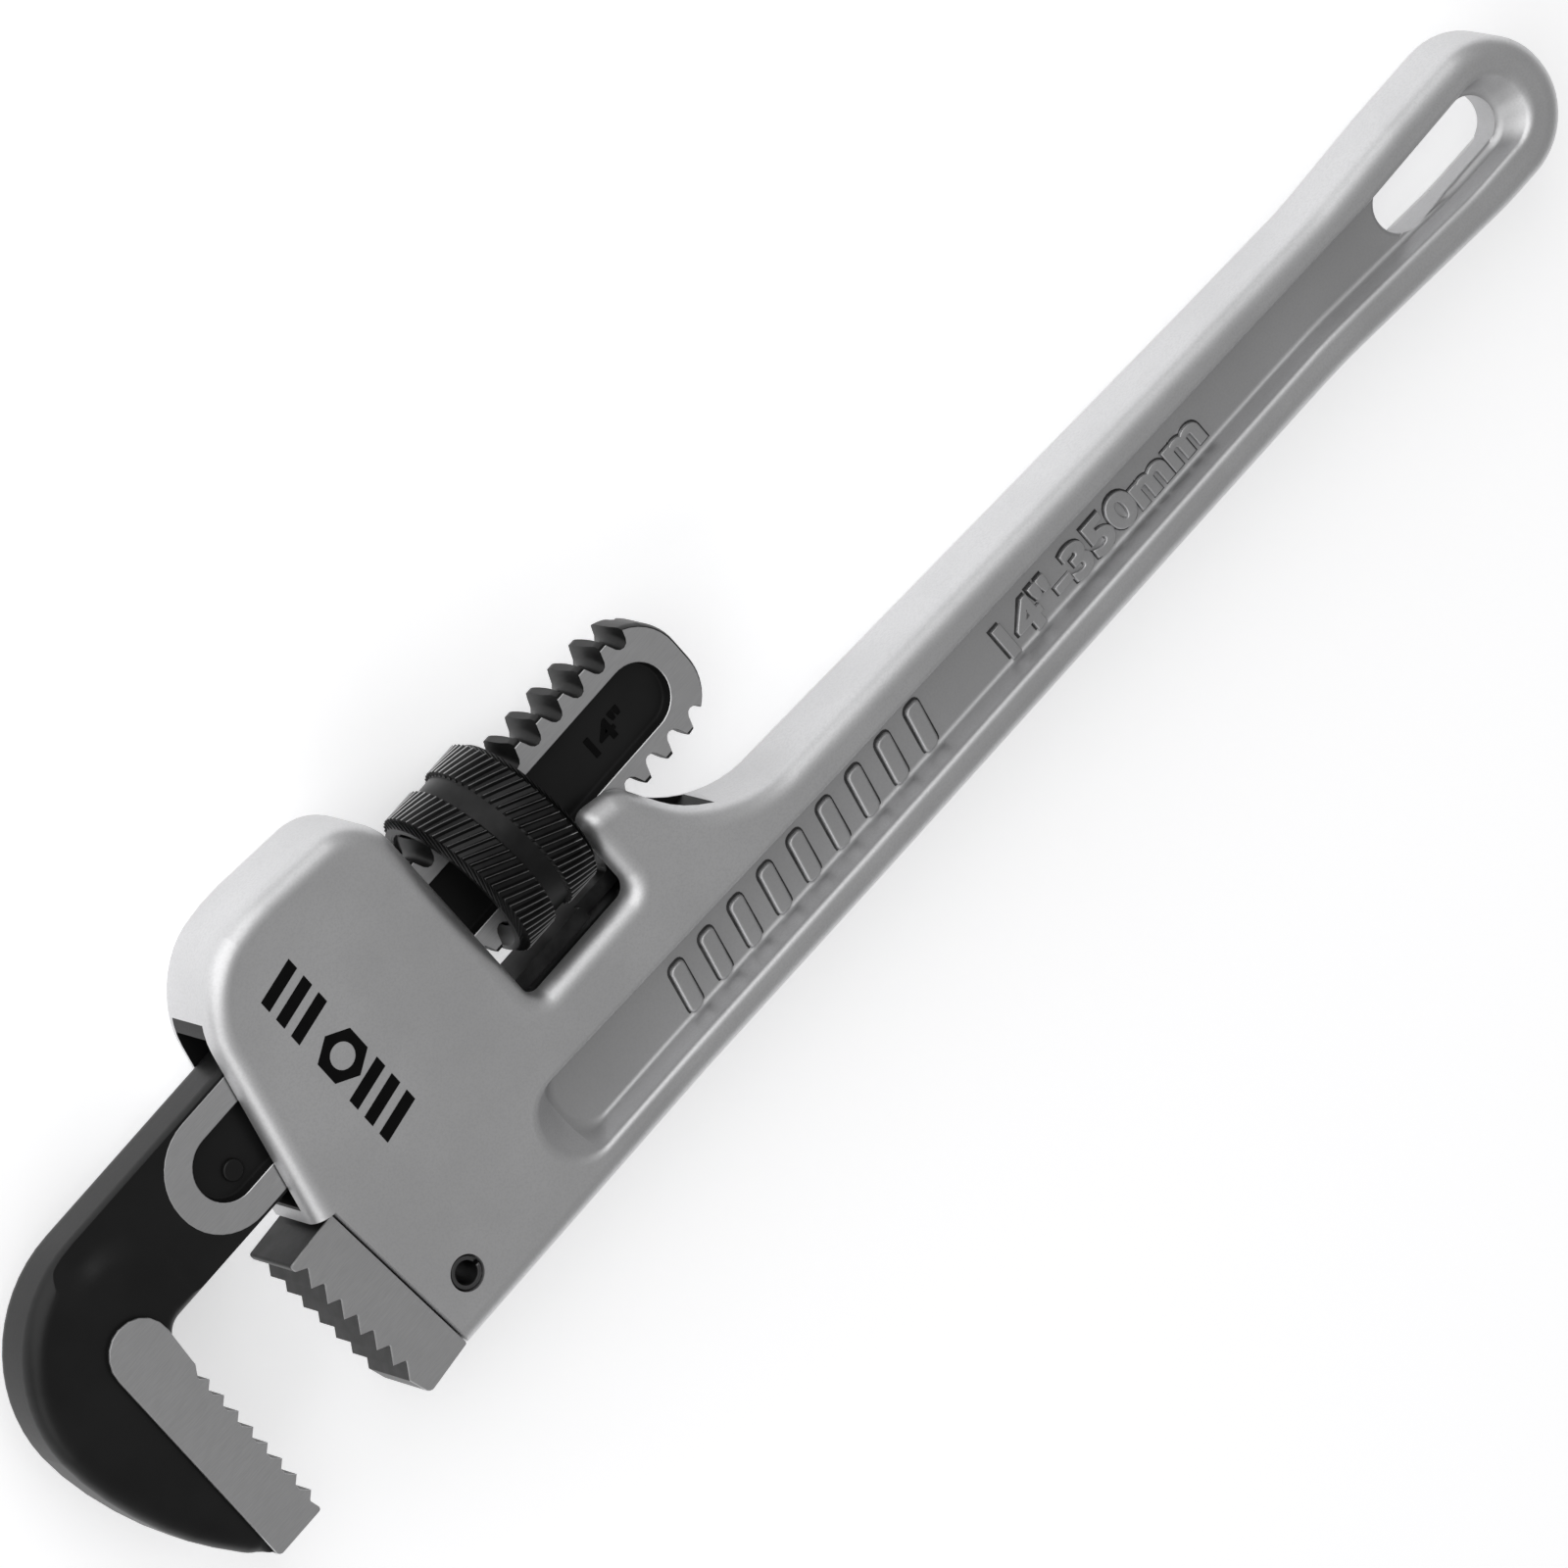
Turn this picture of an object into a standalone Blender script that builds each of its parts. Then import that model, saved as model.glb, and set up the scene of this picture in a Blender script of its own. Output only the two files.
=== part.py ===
"""Pipe wrench with an adjustable hook jaw, modelled as the separate pieces of the real tool.

The wrench lies on its side. X runs along the jaw's shank towards the end of the handle, Y runs across the handle
towards the closed side of the hook, and Z is up through the thickness. While a piece is being shaped, lengths are
in millimetres from the middle of the adjusting nut. The finished tool is moved so that the middle of its footprint
is the origin.
"""

import math

import bmesh
import bpy
from mathutils import Matrix, Vector

MM = 0.001
GAP = 0.3  # between pieces that touch
ARC_STEP = math.radians(15)  # longest turn of one facet on a rounded corner
TINY_RADIUS = 0.25
TINY_SIDE = 0.05

# Casting
HANDLE_END_X = 220.4  # from the middle of the nut to the far end of the handle
CASTING_HALF = 9.0  # half the thickness of the head
HANDLE_HALF = 7.4  # half the thickness of the handle's outer part
TAPER_X = (45.0, 150.0)  # between these the casting thins from the head's thickness to the handle's
EDGE_FILLET = 3.6
HEAD_TOP_Y = 29.0
BASE_Y = -51.9  # underside of the head
HANDLE_TOP_Y = -32.2  # both at the end of the handle
HANDLE_BOTTOM_Y = -58.8
HORN_TOP_Y = -4.4
WEB_HALF = 3.3  # half the thickness of the web between the two channels
CHANNEL_DRAFT = 2.0
RIM = 6.4  # of the handle's section, beside and beyond the channel
HANG_SLOT_LENGTH = 29.0
SADDLE_RISE = 6.4  # from the handle's top line up to the foot of the horn's curve
GRIP_DIP = 0.7  # of the handle's top line where the end starts to swell
GRIP_X = (-59.6, -47.6, -27.6, -20.6)  # where the outline bends, from the handle's end
CHANNEL_FROM_X = -28.8
CHANNEL_TOP_Y = -30.6  # near the head
CHANNEL_FOOT = 5.1  # from the base up to the channel near the head
CHANNEL_SCOOP = 3.8  # how much more the channel's head end leans
CHANNEL_SWELL = 40.0  # from the handle's end to where the channel follows the swell
HEAD_CORNER = 10.0  # radius beside the nut
HEAD_NOSE = 17.0  # radius over the jaw's mouth
HEAD_SLOPE = 2.8  # the head's top falls this far to both corners
HORN_LENGTH = 9.3
HORN_FALL = 2.0
LIP = 3.6  # of the head, over the seat

# Thread and shank
PITCH = 5.3
THREAD_CREST_R = 12.2
THREAD_ROOT_R = 9.2
THREAD_CLEARANCE = 0.35
THREAD_AT_X = 2.4  # where the crest passes the closed side of the shank
THREAD_START_X = -32.0
SHANK_HALF = 4.75  # half the thickness over the two flats
SHANK_EDGE_Y = 11.5  # half the height over the two narrow edges
SHANK_END_X = 44.65
SHANK_PLAY = 0.35  # between a flat and the cheek beside it
EDGE_PLAY = 0.55  # between a narrow edge and the passage's floor where the shank rocks
MOUTH_RISE = 7.4  # the passage opens this far up and down towards the mouth
MOUTH_FALL = 2.8
RECESS_DEPTH = 2.0
RECESS_HALF = 6.5  # half the height of the shank's recess
RECESS_FROM = 18.5  # from the hook's teeth
RECESS_END = 4.7  # from the shank's end

# Hook
HOOK_HALF = 6.2
HOOK_FACE_HALF = 7.25  # half the thickness over the two toothed faces
HOOK_FILLET = 3.2
HOOK_BACK_X = -120.8
HOOK_TOOTH_X = -94.65  # tips of the hook's teeth with the jaw at rest
HOOK_TOOTH_PITCH = 3.77
HOOK_TOOTH_DEPTH = 1.35
HOOK_TEETH = 8
HOOK_FIRST_TIP_Y = -21.6
FACE_WIDTH = 11.25  # of the toothed face
FACE_TOP_Y = -3.75
THROAT_Y = -15.5  # where the hook turns in to the shank
JAW_BOTTOM_Y = -51.6

# Adjusting nut
NUT_R = 15.4
NUT_LENGTH = 18.6
NUT_RIDGES = 60
RIDGE_DEPTH = 0.7
RIDGE_SLANT = math.radians(27)
NUT_GROOVE_WIDTH = 3.6
NUT_GROOVE_R = 14.5
NUT_CHAMFER = 1.1
NUT_SIDE_PLAY = 1.7  # to the saddle
NUT_HEAD_PLAY = 4.0  # to the head
NUT_FLOOR_PLAY = 4.8

# Heel jaw, in its own frame: down along the seat, and out from it
SEAT_TOP = Vector((-61.6, -17.9))
SEAT_BOTTOM = Vector((-59.2, BASE_Y))
HEEL_HALF = 7.25
HEEL_REACH = 11.25  # from the seat to the tips of the teeth
HEEL_TOOTH_PITCH = 4.0
HEEL_TOOTH_DEPTH = 2.05
HEEL_TEETH = 7
HEEL_FIRST_TIP = 5.8
HEEL_FLANK = 0.68  # of the pitch, from a root to the tip below it
TONGUE_HALF = 4.5
TONGUE_DEPTH = 14.0
TONGUE_MARGIN = 4.0  # from the ends of the seat
PIN_RISE = 8.9  # from the seat's lower end
PIN_DEPTH = 7.6  # from the seat
PIN_R = 2.8
PIN_WALL = 0.8
PIN_SINK = 0.3
PIN_SLIT = 0.7

# Spring assembly under the shank
LEAF_HALF = 4.0
LEAF_THICKNESS = 2.6
LEAF_PLAY = 0.4  # under the shank
NUT_LEAF_PLAY = 1.6  # under the nut
LEAF_LENGTH = 50.4
LEAF_RISE = 1.6  # along X, from the low part to the high one
LEAF_TONGUE_HALF = 2.6
COIL_BACK = 7.8  # from the notch to the coil's middle
COIL_R = 3.2
WIRE_R = 0.55
COIL_TURNS = 6
COIL_ROOM = 10.0  # height of the pocketed spring
RIVET_R = 1.0
RIVET_HEAD_R = 1.9
RIVET_HEAD_HEIGHT = 1.0
ROCK_PLAY = 2.4  # left under the leaf for the jaw's rocking

# Joints
ROCK_PIVOT = Vector((-15.0, -12.0, 0.0))

# Sizes that follow from those above
NOTCH_FLOOR_Y = -(NUT_R + NUT_FLOOR_PLAY)
NOTCH_LEFT_X = -(NUT_LENGTH / 2 + NUT_HEAD_PLAY)
NOTCH_RIGHT_X = NUT_LENGTH / 2 + NUT_SIDE_PLAY
COIL_X = NOTCH_RIGHT_X + COIL_BACK
LEAF_TO_X = COIL_X + COIL_R + 0.4
LEAF_FROM_X = LEAF_TO_X - LEAF_LENGTH
LEAF_SHOULDER_X = NOTCH_RIGHT_X - 7.35  # where the leaf narrows to its tongue
LEAF_LOW_Y = -(NUT_R + NUT_LEAF_PLAY)
LEAF_HIGH_Y = -(SHANK_EDGE_Y + LEAF_PLAY)
SPRING_SLOT_Y = LEAF_LOW_Y - LEAF_THICKNESS - ROCK_PLAY
COIL_FLOOR_Y = LEAF_HIGH_Y - LEAF_THICKNESS - 2 * GAP - COIL_ROOM
CHEEK_SLOT_HALF = SHANK_HALF + SHANK_PLAY
THREAD_END_X = SHANK_END_X + 2 * PITCH


def start_clean():
    for item in list(bpy.data.objects):
        bpy.data.objects.remove(item, do_unlink=True)


def finish_of(name, colour, roughness, metallic):
    material = bpy.data.materials.new(name)
    material.use_nodes = True
    shader = material.node_tree.nodes["Principled BSDF"]
    shader.inputs["Base Color"].default_value = (*colour, 1.0)
    shader.inputs["Roughness"].default_value = roughness
    shader.inputs["Metallic"].default_value = metallic
    material.diffuse_color = (*colour, 1.0)
    return material


# Outlines: corners are (x, y, radius) or (x, y, radius, share), where share scales the inset of the side that
# starts there. They run anticlockwise.


def moved_corners(corners, inset):
    """The corners after each side has moved in by its share of the inset."""
    points = [Vector(corner[:2]) for corner in corners]
    shares = [corner[3] if len(corner) > 3 else 1.0 for corner in corners]
    lines = []
    for i, point in enumerate(points):
        along = (points[(i + 1) % len(points)] - point).normalized()
        inward = Vector((-along.y, along.x))
        lines.append((point + inward * inset * shares[i], along))
    moved = []
    for i in range(len(points)):
        (p, a), (q, b) = lines[i - 1], lines[i]
        cross = a.x * b.y - a.y * b.x
        reach = ((q.x - p.x) * b.y - (q.y - p.y) * b.x) / cross
        moved.append(p + a * reach)
    return moved


def outline(corners, inset=0.0):
    """Points around the corners, with each corner an arc. Every inset gives the same number of points."""
    points = moved_corners(corners, inset)
    count = len(points)
    plain = [Vector(corner[:2]) for corner in corners]
    ways = [(plain[(i + 1) % count] - plain[i]).normalized() for i in range(count)]
    lengths = [max((points[(i + 1) % count] - points[i]).dot(ways[i]), TINY_SIDE) for i in range(count)]
    turns = []
    for i in range(count):
        before, after = ways[i - 1], ways[i]
        turns.append(math.atan2(before.x * after.y - before.y * after.x, before.dot(after)))
    radii = []
    for i, corner in enumerate(corners):
        bend = 1 if turns[i] > 0 else -1
        radii.append(max(corner[2] - bend * inset, TINY_RADIUS))
    reaches = [radii[i] * math.tan(abs(turns[i]) / 2) for i in range(count)]
    shrinks = [1.0] * count
    for i in range(count):
        j = (i + 1) % count
        shrink = min(1.0, 0.98 * lengths[i] / (reaches[i] + reaches[j]))
        shrinks[i] = min(shrinks[i], shrink)
        shrinks[j] = min(shrinks[j], shrink)
    path = []
    for i in range(count):
        bend = 1 if turns[i] > 0 else -1
        before = ways[i - 1]
        radius = radii[i] * shrinks[i]
        start = points[i] - before * reaches[i] * shrinks[i]
        centre = start + Vector((-before.y, before.x)) * radius * bend
        steps = max(2, round(abs(turns[i]) / ARC_STEP))
        for k in range(steps + 1):
            path.append(centre + Matrix.Rotation(turns[i] * k / steps, 2) @ (start - centre))
    return path


def solid_of(name, points, faces, material=None):
    mesh = bpy.data.meshes.new(name)
    mesh.from_pydata([Vector(point) * MM for point in points], [], faces)
    if material:
        mesh.materials.append(material)
    item = bpy.data.objects.new(name, mesh)
    bpy.context.collection.objects.link(item)
    return item


def loft(name, loops, material=None):
    """A closed solid through loops of equal length, capped at the first and the last."""
    count = len(loops[0])
    points = [point for loop in loops for point in loop]
    faces = [tuple(reversed(range(count)))]
    for level in range(len(loops) - 1):
        low, high = level * count, (level + 1) * count
        for i in range(count):
            j = (i + 1) % count
            faces.append((low + i, low + j, high + j, high + i))
    top = (len(loops) - 1) * count
    faces.append(tuple(range(top, top + count)))
    return solid_of(name, points, faces, material)


def slab(name, corners, half, fillet=0.0, steps=3, material=None):
    """An outline made thick, from -half to half, with rounded rims."""
    if not fillet:
        levels = [(-half, 0.0), (half, 0.0)]
    else:
        upper = [
            (half - fillet + fillet * math.sin(k / steps * math.pi / 2),
             fillet * (1 - math.cos(k / steps * math.pi / 2)))
            for k in range(steps + 1)
        ]
        levels = [(-z, inset) for z, inset in reversed(upper)] + upper
    return loft(name, [[(p.x, p.y, z) for p in outline(corners, inset)] for z, inset in levels], material)


def wedge(name, corners, low, face, draft):
    """A cutter for a recess. The corners are at its face, and its walls lean in by the draft down to its floor."""
    over = 2.0
    levels = ((low, draft), (face + over, -draft * over / (face - low)))
    return loft(name, [[(p.x, p.y, z) for p in outline(corners, inset)] for z, inset in levels])


def box(name, low, high):
    corners = [(low[0], low[1]), (high[0], low[1]), (high[0], high[1]), (low[0], high[1])]
    return loft(name, [[(x, y, z) for x, y in corners] for z in (low[2], high[2])])


def turned(name, rings, sides, centre, axis="Z", material=None):
    """A round solid from (height, radius) rings, stacked along the axis."""
    loops = []
    for height, radius in rings:
        loop = []
        for k in range(sides):
            angle = math.tau * k / sides
            a, b = radius * math.cos(angle), radius * math.sin(angle)
            offset = (a, b, height) if axis == "Z" else (b, height, a)
            loop.append(Vector(centre) + Vector(offset))
        loops.append(loop)
    return loft(name, loops, material)


def combine(target, tool, operation="DIFFERENCE"):
    modifier = target.modifiers.new("shape", "BOOLEAN")
    modifier.operation = operation
    modifier.solver = "EXACT"
    modifier.object = tool
    shaped = bpy.data.meshes.new_from_object(target.evaluated_get(bpy.context.evaluated_depsgraph_get()))
    target.modifiers.clear()
    target.data = shaped
    shaped.name = target.name
    bpy.data.objects.remove(tool, do_unlink=True)
    return target


def mirrored_down(item):
    """A second cutter, the first one mirrored to the underside."""
    other = item.copy()
    other.data = item.data.copy()
    other.data.transform(Matrix.Scale(-1, 4, (0, 0, 1)))
    other.data.flip_normals()
    bpy.context.collection.objects.link(other)
    return other


def cut_both_faces(target, cutter):
    other = mirrored_down(cutter)
    combine(target, cutter)
    combine(target, other)


def shade(item, sharp_degrees=30):
    item.data.shade_smooth()
    item.data.set_sharp_from_angle(angle=math.radians(sharp_degrees))


# Casting


def casting_corners():
    """The casting's outer line: the head, the nut's notch, the saddle and the handle."""
    end_radius = (HANDLE_TOP_Y - HANDLE_BOTTOM_Y) / 2 - 0.05
    seat_share, lip_share = 0.1, 0.3  # the seat keeps sharp rims
    low_bend, dip, top_swell, low_swell = (HANDLE_END_X + x for x in GRIP_X)
    return [
        (SEAT_BOTTOM.x, SEAT_BOTTOM.y, 1.5),
        (0.0, BASE_Y, 200.0),
        (low_bend, HANDLE_BOTTOM_Y + 3.5, 120.0),
        (low_swell, HANDLE_BOTTOM_Y, 60.0),
        (HANDLE_END_X, HANDLE_BOTTOM_Y, end_radius),
        (HANDLE_END_X, HANDLE_TOP_Y, end_radius),
        (top_swell, HANDLE_TOP_Y, 60.0),
        (dip, HANDLE_TOP_Y - GRIP_DIP, 60.0),
        (NOTCH_RIGHT_X + HORN_LENGTH + 10.0, HANDLE_TOP_Y + SADDLE_RISE, 22.0),
        (NOTCH_RIGHT_X + HORN_LENGTH, HORN_TOP_Y - HORN_FALL, 5.0),
        (NOTCH_RIGHT_X, HORN_TOP_Y, 3.0),
        (NOTCH_RIGHT_X, NOTCH_FLOOR_Y, 2.5),
        (NOTCH_LEFT_X, NOTCH_FLOOR_Y, 2.2),
        (NOTCH_LEFT_X, HEAD_TOP_Y - HEAD_SLOPE, HEAD_CORNER),
        (NOTCH_LEFT_X - 26.7, HEAD_TOP_Y, 30.0),
        (SEAT_TOP.x + 5.9, HEAD_TOP_Y - HEAD_SLOPE, HEAD_NOSE),
        (SEAT_TOP.x - LIP, SEAT_TOP.y + 0.5, 2.6, lip_share),
        (SEAT_TOP.x, SEAT_TOP.y, 0.5, seat_share),
    ]


def channel_corners():
    """The recess in each face of the handle, with a scooped end near the head and a round one past the slot."""
    right_x, bottom_y = HANDLE_END_X - RIM, HANDLE_BOTTOM_Y + RIM
    top_y = HANDLE_TOP_Y - 0.8 * RIM
    end_radius = (top_y - bottom_y) / 2 - 0.1
    return [
        (CHANNEL_FROM_X, BASE_Y + CHANNEL_FOOT, 7.6),
        (0.0, BASE_Y + CHANNEL_FOOT - 0.1, 200.0),
        (HANDLE_END_X + GRIP_X[0], bottom_y + 2.8, 100.0),
        (right_x - 18.0, bottom_y, 60.0),
        (right_x, bottom_y, end_radius),
        (right_x, top_y, end_radius),
        (HANDLE_END_X - CHANNEL_SWELL, top_y - 0.6, 80.0),
        (CHANNEL_FROM_X, CHANNEL_TOP_Y, 7.6, CHANNEL_SCOOP),
    ]


def thin_handle(casting):
    """Scales the thickness along the handle. Planes across both ends of the taper keep every face flat."""
    shape = bmesh.new()
    shape.from_mesh(casting.data)
    for x in TAPER_X:
        bmesh.ops.bisect_plane(
            shape, geom=shape.verts[:] + shape.edges[:] + shape.faces[:], dist=1e-7,
            plane_co=(x * MM, 0, 0), plane_no=(1, 0, 0),
        )
    start, stop = TAPER_X
    for point in shape.verts:
        share = min(max((point.co.x / MM - start) / (stop - start), 0.0), 1.0)
        point.co.z *= 1 + share * (HANDLE_HALF / CASTING_HALF - 1)
    shape.to_mesh(casting.data)
    shape.free()


def passage_corners():
    """The way through the head, open above the shank at the mouth so that the shank can rock."""
    floor_y = -(SHANK_EDGE_Y + EDGE_PLAY)
    mouth_x, notch_x = SEAT_TOP.x - 13.4, NOTCH_LEFT_X + 2.0
    return [
        (mouth_x, floor_y - MOUTH_FALL, 0.5),
        (NOTCH_LEFT_X + 0.3, floor_y, 0.5),
        (notch_x, floor_y, 0.5),
        (notch_x, -floor_y, 0.5),
        (mouth_x, -floor_y + MOUTH_RISE, 0.5),
    ]


def seat_frame():
    """Unit vectors down along the heel jaw's seat and out from it."""
    down = (SEAT_BOTTOM - SEAT_TOP).normalized()
    return down, Vector((down.y, -down.x))


def seat_point(down_by, out_by):
    down, out = seat_frame()
    return SEAT_TOP + down * down_by + out * out_by


def seat_corners(corners):
    """Corners given as (down, out, radius) in the heel jaw's frame, in the casting's frame."""
    return [(*seat_point(down, out), radius) for down, out, radius in corners]


def tongue_corners(extra):
    """The tongue's outline, or its slot's when made larger by extra."""
    length = (SEAT_BOTTOM - SEAT_TOP).length
    top, bottom = TONGUE_MARGIN - extra, length - TONGUE_MARGIN + extra
    return seat_corners([
        (top, 3.0, 0.5), (bottom, 3.0, 0.5), (bottom, -TONGUE_DEPTH - extra, 1.5 + extra),
        (top, -TONGUE_DEPTH - extra, 1.5 + extra),
    ])


def pin_centre():
    length = (SEAT_BOTTOM - SEAT_TOP).length
    centre = seat_point(length - PIN_RISE, -PIN_DEPTH)
    return (centre.x, centre.y, 0.0)


def make_casting(finish):
    casting = slab("handle_frame", casting_corners(), CASTING_HALF, EDGE_FILLET, material=finish)
    over = CASTING_HALF + 2
    cut_both_faces(casting, wedge("channel", channel_corners(), WEB_HALF, CASTING_HALF, CHANNEL_DRAFT))
    slot_top, slot_bottom = HANDLE_TOP_Y - 0.8 * RIM - CHANNEL_DRAFT, HANDLE_BOTTOM_Y + RIM + CHANNEL_DRAFT
    slot_right = HANDLE_END_X - RIM - CHANNEL_DRAFT - 0.4
    slot_left = slot_right - HANG_SLOT_LENGTH
    slot_radius = (slot_top - slot_bottom) / 2 - 0.5
    hang_slot = [
        (slot_left, slot_bottom + 0.4, slot_radius), (slot_right, slot_bottom + 0.4, slot_radius),
        (slot_right, slot_top - 0.4, slot_radius), (slot_left, slot_top - 0.4, slot_radius),
    ]
    combine(casting, slab("hang_slot", hang_slot, over))
    combine(casting, slab("passage", passage_corners(), CHEEK_SLOT_HALF))
    spring_half = LEAF_HALF + GAP
    combine(casting, box("spring_slot", (LEAF_FROM_X - 2, SPRING_SLOT_Y, -spring_half),
                         (NOTCH_RIGHT_X + 1, LEAF_LOW_Y + 1.0, spring_half)))
    combine(casting, box("saddle_slot", (NOTCH_RIGHT_X - 1, SPRING_SLOT_Y + 0.05, -CHEEK_SLOT_HALF),
                         (NOTCH_RIGHT_X + 40, HORN_TOP_Y + 9, CHEEK_SLOT_HALF)))
    pocket_rings = [(COIL_FLOOR_Y - GAP, COIL_R + 2 * GAP), (SPRING_SLOT_Y + 1, COIL_R + 2 * GAP)]
    combine(casting, turned("pocket", pocket_rings, 24, (COIL_X, 0, 0), "Y"))
    combine(casting, slab("tongue_slot", tongue_corners(GAP), TONGUE_HALF + GAP))
    combine(casting, turned("pin_hole", [(-over, PIN_R + GAP), (over, PIN_R + GAP)], 24, pin_centre()))
    thin_handle(casting)
    return casting


# Heel jaw and its pin


def make_heel_jaw(finish):
    length = (SEAT_BOTTOM - SEAT_TOP).length
    corners = [(0.5, GAP, 0.3), (0.4, HEEL_REACH - 0.1, 0.6), (1.6, HEEL_REACH - 0.1, 0.6)]
    for k in range(HEEL_TEETH):
        tip = HEEL_FIRST_TIP + k * HEEL_TOOTH_PITCH
        corners.append((tip - HEEL_FLANK * HEEL_TOOTH_PITCH, HEEL_REACH - HEEL_TOOTH_DEPTH, TINY_RADIUS))
        corners.append((tip, HEEL_REACH, TINY_RADIUS))
    corners += [(length, HEEL_REACH - 0.9, 1.2), (length - 0.3, GAP, 0.4)]
    jaw = slab("heel_jaw", seat_corners(corners), HEEL_HALF, material=finish)
    combine(jaw, slab("tongue", tongue_corners(0.0), TONGUE_HALF), "UNION")
    hole = [(-HEEL_HALF, PIN_R + GAP), (HEEL_HALF, PIN_R + GAP)]
    return combine(jaw, turned("pin_hole", hole, 24, pin_centre()))


def make_pin(finish):
    """A rolled spring pin: a tube with a slit along it."""
    half = CASTING_HALF - PIN_SINK
    pin = turned("heel_jaw_pin", [(-half, PIN_R), (half, PIN_R)], 24, pin_centre(), material=finish)
    over = half + 1
    inner = PIN_R - PIN_WALL
    combine(pin, turned("pin_bore", [(-over, inner), (over, inner)], 24, pin_centre()))
    x, y, _ = pin_centre()
    return combine(pin, box("slit", (x, y - PIN_SLIT / 2, -over), (x + PIN_R + 1, y + PIN_SLIT / 2, over)))


# Thread


def threaded_rod(name, from_x, to_x, root, crest, widen=0.0):
    """A right-hand threaded rod along X. Widen broadens its crest."""
    columns = 60
    marks = (-0.10 - widen, 0.10 + widen, 0.35 + widen, 0.65 - widen)
    radii = (crest, crest, root, root)
    per_turn = len(marks)
    first = math.floor((from_x - THREAD_AT_X) / PITCH) - 1
    turns = math.ceil((to_x - THREAD_AT_X) / PITCH) + 1 - first
    rows = per_turn * turns
    points = []
    for column in range(columns):
        angle = math.tau * column / columns
        for row in range(rows + 1):
            x = THREAD_AT_X + PITCH * (first + column / columns + row // per_turn + marks[row % per_turn])
            radius = radii[row % per_turn]
            points.append((x, radius * math.cos(angle), radius * math.sin(angle)))

    def at(column, row):
        return column * (rows + 1) + row

    faces = []
    for column in range(columns - 1):
        for row in range(rows):
            faces.append((at(column, row), at(column, row + 1), at(column + 1, row + 1), at(column + 1, row)))
    for row in range(rows - per_turn):
        faces.append((
            at(columns - 1, row), at(columns - 1, row + 1), at(0, row + 1 + per_turn), at(0, row + per_turn),
        ))
    low_rim = [at(column, 0) for column in range(columns)] + [at(0, row) for row in range(per_turn, 0, -1)]
    high_rim = [at(column, rows) for column in range(columns)]
    high_rim += [at(columns - 1, row) for row in range(rows - 1, rows - per_turn - 1, -1)]
    points.append((THREAD_AT_X + PITCH * first, 0, 0))
    low_centre = len(points) - 1
    points.append((THREAD_AT_X + PITCH * (first + turns + 1), 0, 0))
    high_centre = len(points) - 1
    for i, here in enumerate(low_rim):
        faces.append((low_centre, here, low_rim[(i + 1) % len(low_rim)]))
    for i, here in enumerate(high_rim):
        faces.append((high_centre, high_rim[(i + 1) % len(high_rim)], here))
    rod = solid_of(name, points, faces)
    shape = bmesh.new()
    shape.from_mesh(rod.data)
    bmesh.ops.recalc_face_normals(shape, faces=shape.faces[:])
    shape.to_mesh(rod.data)
    shape.free()
    return rod


# Hook jaw


def hook_corners():
    """The forging's outer line: the hook's back, the tip, the throat and the shank."""
    tooth_share = 0.2
    back_x = HOOK_TOOTH_X - HOOK_TOOTH_DEPTH - 0.6
    throat_x = HOOK_TOOTH_X + 0.45
    return [
        (HOOK_BACK_X + 13.9, JAW_BOTTOM_Y + 0.4, 7.0, tooth_share),
        (back_x, JAW_BOTTOM_Y + 0.4, 1.0, tooth_share),
        (back_x, THROAT_Y - 4.5, 4.0, tooth_share),
        (throat_x, THROAT_Y - 1.0, 3.0),
        (throat_x, -SHANK_EDGE_Y, 4.5),
        (SHANK_END_X, -SHANK_EDGE_Y, 9.5),
        (SHANK_END_X, SHANK_EDGE_Y, 9.5),
        (HOOK_BACK_X, SHANK_EDGE_Y, 25.0),
        (HOOK_BACK_X, -30.0, 54.0),
    ]


def tooth_face_corners():
    """The thick ground face behind the hook's teeth, round at the top."""
    back_x = HOOK_TOOTH_X - FACE_WIDTH
    radius = FACE_WIDTH / 2 + 0.5
    return [
        (back_x, JAW_BOTTOM_Y, 1.0),
        (HOOK_TOOTH_X, JAW_BOTTOM_Y, 0.6),
        (HOOK_TOOTH_X, THROAT_Y - 1.5, 3.0),
        (HOOK_TOOTH_X + 1.05, FACE_TOP_Y, radius),
        (back_x, FACE_TOP_Y, radius),
    ]


def comb_corners():
    """The space between the hook's teeth."""
    root_x, right_x = HOOK_TOOTH_X - HOOK_TOOTH_DEPTH, HOOK_TOOTH_X + 4.0
    flank_up, flank_down = 1.6, 1.1
    corners = []
    for k in range(HOOK_TEETH):
        tip = HOOK_FIRST_TIP_Y - k * HOOK_TOOTH_PITCH
        above = tip + HOOK_TOOTH_PITCH
        corners += [(HOOK_TOOTH_X, above, 0.1), (root_x, above - flank_down, 0.3), (root_x, tip + flank_up, 0.3)]
    last = HOOK_FIRST_TIP_Y - (HOOK_TEETH - 1) * HOOK_TOOTH_PITCH
    corners += [
        (HOOK_TOOTH_X, last, 0.1), (root_x, last - flank_down, 0.3), (root_x, last - HOOK_TOOTH_PITCH, 0.3),
        (right_x, last - HOOK_TOOTH_PITCH, 0.3), (right_x, HOOK_FIRST_TIP_Y + HOOK_TOOTH_PITCH, 0.3),
    ]
    return corners


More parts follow.
